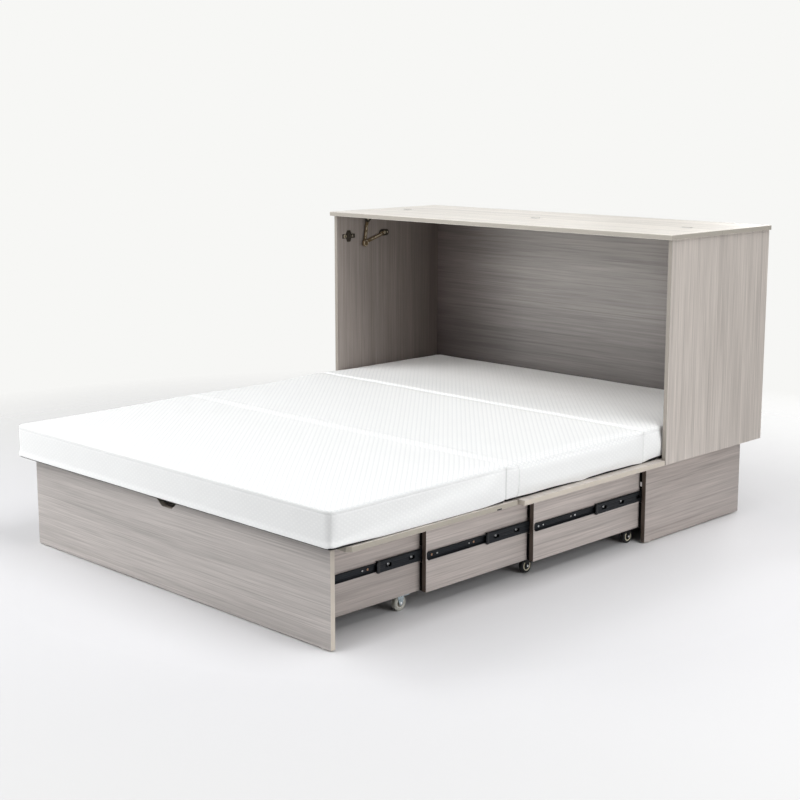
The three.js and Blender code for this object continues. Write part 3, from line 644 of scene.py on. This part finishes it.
def add_middle_slide(letter, side):
    """The middle member, with its cages of balls and a plastic stop on its front end."""
    data = frames[letter]
    face_x, y = data.carrier_face, data.middle
    piece = Piece(f"slide_middle_{letter}_{side}", f"slides_{letter}", slide_black, zinc,
                  black_plastic, hinge_steel, side=side)
    web_x = face_x - slide_wall - 0.0006
    places = [y[0] + 0.045, y[0] + 0.139, *hole_places((y[0] + 0.2, y[1]))]
    holes = [oblong_hole(place, 0.0075, 0.0055) for place in places]
    add_channel(piece, web_x, -1, y, middle_member, holes, 0.007)
    half = middle_member[0]
    lip = 0.0004
    stop = rounded((-half - lip, web_x - 0.0086), (half + lip, web_x + lip), 0.0018, 3)
    stand = Matrix(((0, 1, 0, 0), (0, 0, 1, y[0] + 0.0045), (1, 0, 0, slide_height), (0, 0, 0, 1)))
    piece.take(prism([stop], 0.0075, 0.0008), 2, stand)
    outer_gap = (half + outer_member[0] - slide_wall) / 2
    inner_gap = (half - slide_wall + inner_member[0]) / 2
    add_balls(piece, face_x - 0.006, (y[1] - ball_row, y[1] - 0.002), outer_gap, 1, 3)
    add_balls(piece, face_x - 0.008, (y[0] + 0.014, y[0] + ball_row), inner_gap, 1, 3)
    piece.made("slide_black", f"stage_{letter}_slide_middle_{side}")


def add_inner_slide(letter, side):
    """The inner member, on the outer face of the frame that it carries. Its two wide screws lie
    behind the middle member's front holes."""
    data = frames[letter]
    face_x, y = data.face, data.inner
    piece = Piece(f"slide_inner_{letter}_{side}", f"frame_{letter}", slide_black, zinc, copper,
                  black_plastic, side=side)
    screws = []
    for off, radius in ((0.020, 0.0034), (0.043, 0.0024), (0.180, 0.0020), (0.200, 0.0034)):
        screws.append((y[0] + off, radius, 2 if off in data.copper else 1))
    screws += [(data.middle[0] + off, 0.0052, 1) for off in (0.053, 0.147)]
    holes = [oblong_hole(place, 0.002, 0.0022) for place, _, _ in screws]
    add_channel(piece, face_x, 1, y, inner_member, holes, 0.0035)
    for place, radius, material in screws:
        seat = (face_x + slide_wall * 0.6, place, slide_height)
        screw(piece, seat, (1, 0, 0), radius, material, 3)
    latch = rounded((y[1] - 0.075, -0.006), (y[1] - 0.03, 0.006), 0.003)
    piece.take(prism([latch], 0.0018, 0.0004), 3, slide_lift @ standing(face_x + 0.0045))
    piece.made("slide_black", f"stage_{letter}_slide_inner_{side}")


def add_board(name, body, low, high, material, replaced, side):
    piece = Piece(name, body, material, side=side)
    piece.take(box(low, high, board_bevel))
    piece.made("laminate", replaced)


def add_frame_board(letter, side):
    data = frames[letter]
    low = (data.face - board, data.ends[0], rail_bottom)
    high = (data.face, data.ends[1], rail_top)
    add_board(f"stage_{letter}_board_{side}", f"frame_{letter}", low, high, data.wood,
              f"stage_{letter}_side_{side}", side)


def add_gap_shadow(letter, side):
    """Black strips in the gap inside the carrier's front edge, clear of the slide: painted shadow,
    a dark sheet that stands for the deep shade in the gap.
    """
    data = frames[letter]
    face_x, front = data.carrier_face, data.carrier_front
    piece = Piece(f"gap_shadow_strip_{letter}_{side}", data.carrier, gap_shadow_black, side=side)
    for low, high in ((rail_bottom, slide_height - gap_shadow_clearance),
                      (slide_height + gap_shadow_clearance, rail_top)):
        piece.take(box((face_x - 0.011, front + 0.002, low), (face_x, front + 0.006, high), 0.0008))
    piece.made("slide_black")


def add_glide(name, body, place):
    """A round nailed glide under a board."""
    profile = [(0, 0), (0.0055, 0), (0.0068, 0.0008), (0.0075, 0.0022), (0.0075, 0.0043),
               (0, 0.0043)]
    piece = Piece(name, body, pale_plastic)
    piece.take(lathe(profile, 28), 0, Matrix.Translation(place))
    piece.made("wheel_grey")


def add_fork(letter, side):
    """A rigid caster's fork: a top plate, two folded legs with ribs and bolts, and the axle."""
    data = frames[letter]
    wheel_x, y = data.wheel
    piece = Piece(f"caster_fork_{letter}_{side}", f"frame_{letter}", data.caster[0], zinc,
                  side=side)
    leg_x = wheel_half + fork_gap
    top = rail_bottom
    low = (wheel_x - leg_x - fork_wall, y - 0.021)
    plate = rounded(low, (data.face - 0.001, y + 0.021), 0.003)
    seat = Matrix.Translation((0, 0, top - fork_plate))
    piece.take(prism([plate], fork_plate, 0.0004), 0, seat)
    hub = arc((0, wheel_radius), 0.0068, math.pi * 1.02, math.pi * 1.98, 12)
    leg = [(-0.0135, top - 0.001), (-0.0135, top - 0.006), *hub, (0.0135, top - 0.006),
           (0.0135, top - 0.001)]
    leg = [(y + u, v) for u, v in leg]
    for sign in (-1, 1):
        place = standing(wheel_x + sign * leg_x, sign)
        piece.take(prism([leg], fork_wall, 0.0004), 0, place)
        outside = wheel_x + sign * (leg_x + fork_wall)
        bolt = [(0, 0.0016), (0.0026, 0.0015), (0.0036, 0.0009), (0.0038, 0), (0, 0)]
        piece.take(lathe(bolt, 20), 1, turned((sign, 0, 0), (outside, y, wheel_radius)))
        rib = capsule((y, wheel_radius + 0.009), (y, top - 0.007), 0.0028)
        piece.take(prism([rib], 0.0007, 0.0003), 0, standing(outside, sign))
    axle = both_halves([(0, -leg_x), (0.003, -leg_x)])
    piece.take(lathe(axle, 20), 1, turned((1, 0, 0), (wheel_x, y, wheel_radius)))
    piece.made("hinge_steel")


def add_wheel(letter, side):
    """A caster wheel: a crowned tyre on a dished, ribbed hub with a raised ring."""
    wheel_x, y = frames[letter].wheel
    _, tyre, hub, ring, slot = frames[letter].caster
    piece = Piece(f"caster_wheel_{letter}_{side}", f"wheel_{letter}_{side}", tyre, hub, ring, zinc,
                  side=side)
    stand = turned((1, 0, 0), (wheel_x, y, wheel_radius))
    half, outside = wheel_half, wheel_radius
    shoulder = 0.0042
    curve = arc((outside - shoulder, shoulder - half), shoulder, -math.pi / 2, 0.0, 5)
    tread = [(0.0165, 0.001 - half), (0.0178, -half), (outside - shoulder, -half), *curve[1:-1],
             (outside, shoulder - half + 0.0006)]
    piece.take(lathe(both_halves(tread), 48, closed=True), 0, stand)
    dish = [(0.0034, 0.0012 - half), (0.0065, 0.0012 - half), (0.0072, 0.003 - half),
            (0.0118, 0.0032 - half), (0.0128, 0.0014 - half), (0.0168, 0.0012 - half)]
    piece.take(lathe(both_halves(dish), 40, closed=True), 1, stand)
    for sign in (-1, 1):
        band = [(0.0124, sign * (half - 0.002)), (0.0128, sign * (half - 0.0004)),
                (0.0156, sign * (half - 0.0004)), (0.0162, sign * (half - 0.002))]
        piece.take(lathe(band, 40, closed=True), 2, stand)
        flip = Matrix.Rotation(math.pi if sign < 0 else 0.0, 4, "X")
        for number in range(5):
            rib = box((0.0066, -0.0008, half - 0.0036), (0.0124, 0.0008, half - 0.0018), 0.0003, 1)
            spin = Matrix.Rotation(number * 2 * math.pi / 5, 4, "Z")
            piece.take(rib, 1, stand @ flip @ spin)
    sleeve = both_halves([(0.0032, -half - 0.0004), (0.0046, -half - 0.0004)])
    piece.take(lathe(sleeve, 24, closed=True), 3, stand)
    piece.made(slot, f"stage_{letter}_wheel_{side}")


def add_foot_panel():
    """The foot panel, with its finger notch let into the top edge."""
    outline = [(-base_half, rail_top), (-0.05, rail_top)]
    for x, start, end in ((-0.0215, 1.2, 1.5), (0.0215, 1.5, 1.8)):
        outline += arc((x, rail_top - 0.0135), 0.0065, math.pi * start, math.pi * end, 5)
    outline += [(0.05, rail_top), (base_half, rail_top), (base_half, base_bottom),
                (-base_half, base_bottom)]
    piece = Piece("foot_panel_board", "frame_c", cross_wood)
    piece.take(prism([outline], board, board_bevel), 0, facing_y(foot_face))
    piece.made("laminate", "foot_panel")


def add_stay_details(side):
    """What the lid stays carry beyond their arms: ridges, rivets, the elbow's drum, screws
    and the cross-shaped plate on the side panel."""
    inward = (-1, 0, 0)

    def part(name, body, metal=bronze):
        return Piece(f"stay_{name}_{side}", body, metal, bright_bronze, black_plastic, side=side)

    def rivet(piece, place, radius):
        profile = [(0, 0.0018), (radius * 0.6, 0.0016), (radius, 0.0006), (radius, 0), (0, 0)]
        piece.take(lathe(profile, 24), 1, turned(inward, place))

    def ridge(piece, x, start, end, radius):
        rib = prism([capsule(start, end, radius)], 0.0012, 0.0004)
        piece.take(rib, 1, standing(x + 0.0002, -1))

    elbow = turned(inward, (0.7613, 0.5815, 0.9022))
    lower = part("drum", f"stay_lower_{side}")
    cap = [(0, 0.003), (0.0042, 0.0028), (0.005, 0.0012), (0.0086, 0.001), (0.0096, 0.0026),
           (0.0122, 0.0024), (0.0132, 0.001), (0.0132, 0), (0, 0)]
    lower.take(lathe(cap), 0, elbow)
    rim = [(0.0094, 0.0022), (0.0098, 0.003), (0.0116, 0.003), (0.012, 0.0022)]
    lower.take(lathe(rim, closed=True), 1, elbow)
    ridge(lower, 0.7712, (0.62, 0.9143), (0.68, 0.9331), 0.0022)
    rivet(lower, (0.7713, 0.6965, 0.9382), 0.0052)
    lower.made("stay_bronze")
    upper = part("ridge", f"stay_upper_{side}")
    ridge(upper, 0.7684, (0.5848, 0.92), (0.5946, 0.971), 0.0019)
    upper.made("stay_bronze")
    foot = part("foot_screws", "flap")
    rivet(foot, (0.7657, 0.5995, 0.9972), 0.0046)
    for y in (0.532, 0.554):
        screw(foot, (0.7621, y, 1.0152), (0, 0, -1), 0.0038, 1, 2)
    foot.made("stay_bronze")
    seat = part("plate", "cabinet", dark_bronze)
    for y in (0.6785, 0.7145):
        screw(seat, (0.774, y, 0.9382), inward, 0.0032, 1, 2, 0.05)
    centre = Vector((0.776, 0.5004, 0.9343))
    reach, rise, arm, cup_off = 0.0335, 0.0225, 0.0085, 0.021
    quarter = [(reach, arm), (arm * 1.6, arm), (arm, rise)]
    cross = quarter + [(-y, z) for y, z in quarter[::-1]]
    cross += [(-y, -z) for y, z in cross]
    holes = [arc((y, 0), 0.0052, 0, 2 * math.pi * 15 / 16, 15) for y in (-cup_off, cup_off)]
    on_panel = Matrix.Translation((0, centre.y, centre.z)) @ standing(centre.x, -1)
    seat.take(prism([cross, *holes], 0.0022, 0.0005), 0, on_panel)
    cup = [(0.0052, 0.0012), (0.006, 0.0034), (0.0072, 0.0032), (0.0078, 0.0012)]
    for y, material in ((-cup_off, 1), (cup_off, 0)):
        place = centre + Vector((0, y, 0))
        seat.take(lathe(cup, 28, closed=True), material, turned(inward, place))
        screw(seat, place, inward, 0.0036, 1, 2)
    boss = [(0, 0.0062), (0.006, 0.006), (0.0086, 0.004), (0.0092, 0.001), (0, 0.001)]
    seat.take(lathe(boss, 32), 0, turned(inward, centre))
    seat.made("stay_bronze")


def add_side_parts(side):
    """The base's stop angle and the buffer under the foot board."""
    stop = Piece(f"base_stop_{side}", "cabinet", zinc, side=side)
    stop.take(box((0.6935, 0.4402, 0.194), (base_inner, 0.4413, 0.209), 0.0004, 1))
    stop.take(box((0.6998, 0.4413, 0.194), (base_inner, 0.4495, 0.209), 0.0004, 1))
    stop.made("hinge_steel")
    pad = Piece(f"board_buffer_{side}", "foot_board", black_plastic, side=side)
    shape = rounded((-0.37, 0.2828), (-0.35, 0.2866), 0.0017)
    pad.take(prism([shape], 0.001, 0.0004), 0, standing(0.7708))
    pad.made("slide_black")


def add_screws():
    """Screws in the flush hinges' leaves and in the back panel."""
    for body, towards in (("flap", -1), ("cabinet", 1)):
        piece = Piece(f"hinge_screws_{body}", body, zinc, black_plastic)
        for x in (-0.659, 0.0, 0.659):
            for off in (-0.0115, 0.0115):
                place = (x + off, lid_seam + towards * 0.0135, 1.033)
                screw(piece, place, (0, 0, 1), 0.0031, 0, 1, 0.05)
        piece.made("hinge_steel")
    piece = Piece("back_screws", "cabinet", zinc, black_plastic)
    rows = [(x, z) for z in (0.29, 1.009) for x in (-0.63, -0.378, -0.126, 0.126, 0.378, 0.63)]
    rows += [(x, z) for x in (-0.768, 0.768) for z in (0.36, 0.56, 0.75, 0.94)]
    for x, z in rows:
        screw(piece, (x, back_face, z), (0, 1, 0), 0.0036, 0, 1, 0.3)
    piece.made("hinge_steel")


for side, sign in side_signs.items():
    add_board(f"base_board_{side}", "cabinet", (base_inner, base_front, base_bottom),
              (base_half, 1.0095, 0.282), low_side, f"base_side_{side}", side)
    for number, y in enumerate((0.4735, 0.9755)):
        add_glide(f"base_glide_{side}_{number}", "cabinet", (sign * 0.709, y, 0.0))
    add_glide(f"foot_glide_{side}", "frame_c", (sign * 0.683, -0.9665, 0.0))
    for letter in frames:
        for add in (add_gap_shadow, add_frame_board, add_outer_slide, add_middle_slide,
                    add_inner_slide, add_fork, add_wheel):
            add(letter, side)
    add_stay_details(side)
    add_side_parts(side)
add_foot_panel()
add_screws()


def grid_lines(reach):
    """Where a section's grid runs across it: close together near both edges."""
    near = [0.0, 0.0015, 0.004, 0.008, 0.0125, 0.02, 0.032, 0.046]
    inner = reach - near[-1]
    count = max(2, round(2 * inner / grid_pitch))
    middle = [-inner + 2 * inner * i / count for i in range(1, count)]
    return [n - reach for n in near] + middle + [reach - n for n in near[::-1]]


def grid_levels(height):
    """The heights of a section's grid, with close ones at its lower edge and its seam."""
    below = [0.0, band_level, 0.005, 0.0085, 0.014, 0.024, 0.036, 0.048, 0.06, 0.072]
    seam = [seam_depth + off for off in (0.0075, 0.0035, 0.0013, 0.0, -0.0013, -0.0035)]
    return below + [height - drop for drop in (*seam, 0.0064, 0.0044, 0.0026, 0.0012, 0.0)]


def knit_block(half, height):
    """A gridded block about the Z axis, with the knit's UVs unrolled in metres."""
    levels = grid_levels(height)
    xs, ys = grid_lines(half.x), grid_lines(half.y)
    last_x, last_y, last_z = len(xs) - 1, len(ys) - 1, len(levels) - 1
    around = half.x + 2 * half.y
    shape = bmesh.new()
    layer = shape.loops.layers.uv.new("knit")
    found = {}

    def vertex(i, j, k):
        if (i, j, k) not in found:
            found[i, j, k] = shape.verts.new((xs[i], ys[j], levels[k]))
        return found[i, j, k]

    def face(corners, unrolled, material=0):
        made = shape.faces.new([vertex(*corner) for corner in corners])
        made.material_index = material
        for loop, (i, j, k) in zip(made.loops, corners):
            loop[layer].uv = unrolled(xs[i], ys[j], levels[k])

    def flat(x, y, _):
        return x, y * top_stretch

    def wall(start, end, k, along, material):
        corners = [(*start, k), (*end, k), (*end, k + 1), (*start, k + 1)]
        face(corners, lambda x, y, z: (along(x, y), z), material)

    for i in range(last_x):
        for j in range(last_y):
            square = [(i, j), (i + 1, j), (i + 1, j + 1), (i, j + 1)]
            face([(*corner, last_z) for corner in square], flat)
            face([(*corner, 0) for corner in square[::-1]], flat, 2)
    for k in range(last_z):
        sewn = 1 if abs(height - (levels[k] + levels[k + 1]) / 2 - seam_depth) < 0.0007 else 0
        # The lowest row of the walls takes the dark underside cloth: a painted shadow line under
        # the mattress's edge.
        side = 2 if k == 0 else sewn
        for i in range(last_x):
            wall((i, 0), (i + 1, 0), k, lambda x, y: x, side)
            wall((i + 1, last_y), (i, last_y), k, lambda x, y: around + half.x - x, side)
        for j in range(last_y):
            wall((last_x, j), (last_x, j + 1), k, lambda x, y: half.x + y + half.y, side)
            wall((0, j + 1), (0, j), k, lambda x, y: -half.x - y - half.y, side)
    return shape


def rounded_corner(co, half, radius):
    """A point's place in plan once the corner is rounded, and the way out of it there."""
    inset = Vector((half.x - abs(co.x), half.y - abs(co.y)))
    sign = Vector((math.copysign(1, co.x), math.copysign(1, co.y)))
    if max(inset) >= radius:
        out = Vector((sign.x, 0)) if inset.x < inset.y else Vector((0, sign.y))
        return Vector((co.x, co.y)), out
    off = Vector((radius, radius)) - inset
    new = off * (max(off) / off.length)
    plan = Vector((sign.x * (half.x - radius + new.x), sign.y * (half.y - radius + new.y)))
    out = Vector((sign.x * new.x, sign.y * new.y)).normalized()
    if abs(off.x - off.y) < 0.0001:
        plan -= out * 0.0011
    return plan, out


def round_block(shape, half, height, open_ends):
    """Rounds a block's upright corners and its upper and lower edges. An open end is one
    that doesn't meet another section."""
    for item in shape.verts:
        co = item.co.copy()
        end_open = open_ends[0] if co.y < 0 else open_ends[1]
        plan, out = rounded_corner(co, half, corner_radius if end_open else joint_corner_radius)
        inset = (half.x - abs(co.x), half.y - abs(co.y))
        top_radius = edge_radius if inset[0] < inset[1] or end_open else joint_edge_radius
        z = co.z
        for radius, drop, up in ((top_radius, height - co.z, 1), (lower_radius, co.z, -1)):
            off = Vector((radius - min(inset), radius - drop))
            if min(off) > 0:
                new = off * (max(off) / off.length)
                plan = plan + out * (new.x - off.x)
                z = z - up * (off.y - new.y)
        item.co = Vector((plan.x, plan.y, z))


def blow(item, low, high, open_ends):
    """A short cloth simulation with air pressure inside, held at the underside and at the
    ends that meet the next section."""
    held = item.vertex_groups.new(name="held")
    for vertex in item.data.vertices:
        _, y, z = vertex.co
        at_front = not open_ends[0] and y < low.y + held_end
        at_rear = not open_ends[1] and y > high.y - held_end
        if at_front or at_rear or z < low.z + held_base:
            held.add([vertex.index], 1.0, "REPLACE")
    cloth = item.modifiers.new("cloth", "CLOTH")
    for name, value in cloth_settings.items():
        setattr(cloth.settings, name, value)
    cloth.settings.effector_weights.gravity = 0.0
    cloth.collision_settings.use_collision = False
    cloth.point_cache.frame_start = 1
    cloth.point_cache.frame_end = cloth_frames
    for number in range(1, cloth_frames + 1):
        bpy.context.scene.frame_set(number)
    blown = item.evaluated_get(bpy.context.evaluated_depsgraph_get())
    places = [vertex.co.copy() for vertex in blown.data.vertices]
    item.modifiers.remove(cloth)
    item.vertex_groups.remove(held)
    bpy.context.scene.frame_set(1)
    for vertex, place in zip(item.data.vertices, places):
        vertex.co = place


# How high the long sides' lower edge stands off the boards, along the bed.
lifts = ((-1.02, 0.005), (-0.97, 0.0065), (-0.9, 0.0045), (-0.83, 0.0012), (-0.66, 0.0006),
         (-0.42, 0.0008), (-0.36, 0.004), (-0.31, 0.0075), (-0.2, 0.0055), (-0.12, 0.0065),
         (-0.02, 0.004), (0.035, 0.0008), (0.07, 0.005), (0.16, 0.0065), (0.29, 0.005),
         (0.345, 0.0016), (0.385, 0.008), (0.45, 0.0115), (1.02, 0.0115))


def lift_at(y):
    for (start, low), (end, high) in zip(lifts, lifts[1:]):
        if y <= end:
            return low + (high - low) * max(0.0, (y - start) / (end - start))
    return lifts[-1][1]


def settle(item, rest, low, high, open_ends, hinge_y):
    """Caps how far the air moved each point, then adds what sewing, use and the boards leave:
    the seam that draws in, slow waves in the foam, a lower edge that stands off here and
    there, and the dent over a hinge."""
    for vertex, start in zip(item.data.vertices, rest):
        moved = vertex.co - start
        if moved.length > puff_cap:
            moved *= puff_cap / moved.length
        place = start + moved
        on_side = abs(start.x) > high.x - side_reach
        on_foot = open_ends[0] and start.y < low.y + side_reach
        up, depth = start.z - low.z, high.z - start.z
        wave = noise.noise(Vector((start.x * 5.1, start.y * 5.1, start.z * 9.0)))
        fine = noise.noise(Vector((start.x * 17.0, start.y * 17.0, start.z * 26.0 + 7.0)))
        if on_side or on_foot:
            outward = Vector((0, -1, 0)) if on_foot else Vector((math.copysign(1, start.x), 0, 0))
            crease = math.exp(-((depth - seam_depth) / crease_width) ** 2)
            place += outward * (0.0011 * wave + 0.0005 * fine - 0.0007 * crease)
        if depth < top_reach:
            place.z += 0.0012 * wave + 0.0003 * fine
        if (on_side or on_foot) and band_level * 0.5 < up < lift_height:
            lift = lift_at(start.y) if on_side else foot_lift
            share = max(0.0, up - band_level) / (lift_height - band_level)
            place.z = low.z + lift + share * (lift_height - lift)
        over_hinge = hinge_y is not None and abs(start.y - hinge_y) < dent_reach
        if over_hinge and up < band_level * 0.5:
            place.z += dent_height
        rearmost = high.y if open_ends[1] else high.y - 0.0001
        place.y = min(max(place.y, low.y - (proud if open_ends[0] else 0.0)), rearmost)
        place.x = min(max(place.x, low.x - proud), high.x + proud)
        vertex.co = place
    item.data.update()


def add_mattress(name, node, open_ends, hinge_y):
    """A foam section in its knitted cover: a gridded block, rounded and blown up a little as
    cloth, with a sewn seam round its top and a dark cloth underneath, which also runs as a
    band round the foot of its walls: a painted shadow line."""
    low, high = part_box(node)
    half, centre = (high - low) / 2, (high + low) / 2
    shape = knit_block(half, 2 * half.z)
    round_block(shape, half, 2 * half.z, open_ends)
    bmesh.ops.translate(shape, verts=shape.verts, vec=(centre.x, centre.y, low.z))
    face_outwards(shape)
    mesh = mesh_of(name, shape, (white_knit, seam_thread, underside_and_shadow_cloth))
    item = in_scene(name, mesh)
    rest = [vertex.co.copy() for vertex in mesh.vertices]
    blow(item, low, high, open_ends)
    settle(item, rest, low, high, open_ends, hinge_y)
    mesh.shade_smooth()
    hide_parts(node)
    return item


def lay_on(item, body):
    """Puts a finished piece of the mattress on the body that carries it, with a mesh of its own."""
    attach(item, body)
    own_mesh(item)


def cut_off(item, name, y):
    """Makes a piece of its own of what reaches past a board joint, so that it can go with the
    other board."""
    edge = item.copy()
    edge.data = item.data.copy()
    edge.name = name
    bpy.context.scene.collection.objects.link(edge)
    for piece, ahead in ((item, False), (edge, True)):
        shape = bmesh.new()
        shape.from_mesh(piece.data)
        whole = shape.verts[:] + shape.edges[:] + shape.faces[:]
        bmesh.ops.bisect_plane(shape, geom=whole, dist=1e-7, plane_co=(0, y, 0),
                               plane_no=(0, 1, 0), clear_inner=not ahead, clear_outer=ahead)
        rim = [line for line in shape.edges if line.is_boundary]
        for cap in bmesh.ops.edgeloop_fill(shape, edges=rim)["faces"]:
            cap.smooth = False
        face_outwards(shape)
        shape.to_mesh(piece.data)
        shape.free()
    return edge


foot_section = add_mattress("mattress_section_foot", "mattress_foot", (True, False), None)
middle_section = add_mattress("mattress_section_middle", "mattress_middle", (False, False),
                              board_joint)
head_section = add_mattress("mattress_section_head", "mattress_head", (False, True), deck_joint)
middle_edge = cut_off(middle_section, "mattress_middle_front_edge", board_joint)
for item, body, y in ((foot_section, "foot_board", -0.6), (middle_edge, "foot_board", -0.3),
                      (middle_section, "head_board", 0.1)):
    lay_on(item, body)
lay_on(head_section, "cabinet")


# Soft lights round the bed: the way each stands from it and its height in degrees (0 is the
# foot's side, 90 the right), its size in metres and its power in watts.
softboxes = {
    "high_right": (90, 59, 2.6, 106),
    "high_front": (0, 36, 2.6, 68),
    "high_left": (-60, 50, 1.5, 54),
    "front_left": (-45, 12, 2.4, 75),
    "front_right": (45, 14, 2.4, 4),
    "right": (90, 12, 2.4, 64),
    "rear": (180, 12, 2.4, 93),
    "rear_left": (-135, 12, 2.4, 22),
}
light_reach = 4.2
light_target = Vector((0, 0, 0.5))
backdrop_tone = srgb(247, 247, 245)
backdrop_glow = 0.03
backdrop_radius = 70.0
floor_radius = 4.5
floor_fade = (1.4, 3.2)


def staged(name, shape, material):
    item = in_scene(name, mesh_of(name, shape, [material]))
    return item


def add_floor():
    """A pale floor that fades out into the backdrop."""
    made = Material("floor_paper", srgb(220, 220, 222), 0.75, Specular_IOR_Level=0.2)
    away = made.node("VectorMath", {0: made.coordinates()}, operation="LENGTH").outputs["Value"]
    clear = made.node("BsdfTransparent", {}).outputs[0]
    far = made.between(away, *floor_fade)
    joined = made.node("MixShader", {0: far, 1: made.shader.outputs[0], 2: clear}).outputs[0]
    output = made.tree.nodes["Material Output"]
    made.tree.links.new(joined, output.inputs["Surface"])
    disc = bmesh.new()
    bmesh.ops.create_circle(disc, cap_ends=True, radius=floor_radius, segments=96)
    staged("floor", disc, made.material)


def add_backdrop():
    """A plain shell round everything that the camera sees and that gives no light."""
    made = Material("backdrop", (0, 0, 0, 1), 1.0)
    glow = made.node("Emission", {"Color": backdrop_tone, "Strength": 1.0}).outputs[0]
    made.tree.links.new(glow, made.tree.nodes["Material Output"].inputs["Surface"])
    shell = bmesh.new()
    bmesh.ops.create_uvsphere(shell, u_segments=48, v_segments=24, radius=backdrop_radius)
    item = staged("backdrop", shell, made.material)
    for ray in ("diffuse", "glossy", "transmission", "volume_scatter", "shadow"):
        setattr(item, f"visible_{ray}", False)


def add_lights():
    scene = bpy.context.scene
    scene.view_settings.view_transform = "Standard"
    world = bpy.data.worlds.new("studio")
    world.use_nodes = True
    background = world.node_tree.nodes["Background"]
    background.inputs["Strength"].default_value = backdrop_glow
    background.inputs["Color"].default_value = backdrop_tone
    scene.world = world
    for name, (around, above, size, power) in softboxes.items():
        light = bpy.data.lights.new(name, "AREA")
        light.shape = "SQUARE"
        light.size = size
        light.energy = power
        item = in_scene(name, light)
        item.visible_camera = False
        turn, lift = math.radians(around), math.radians(above)
        way = Vector((math.sin(turn) * math.cos(lift), -math.cos(turn) * math.cos(lift),
                      math.sin(lift)))
        item.location = light_target + way * light_reach
        item.rotation_euler = (-way).to_track_quat("-Z", "Y").to_euler()


def add_camera():
    camera = bpy.data.cameras.new("camera")
    camera.lens = camera_lens
    camera.sensor_width = 36.0
    camera.shift_y = camera_shift
    viewer = in_scene("camera", camera)
    viewer.location = camera_place
    viewer.rotation_mode = "QUATERNION"
    viewer.rotation_quaternion = Vector(camera_forward).to_track_quat("-Z", "Y")
    bpy.context.scene.camera = viewer


add_floor()
add_backdrop()
add_lights()
add_camera()
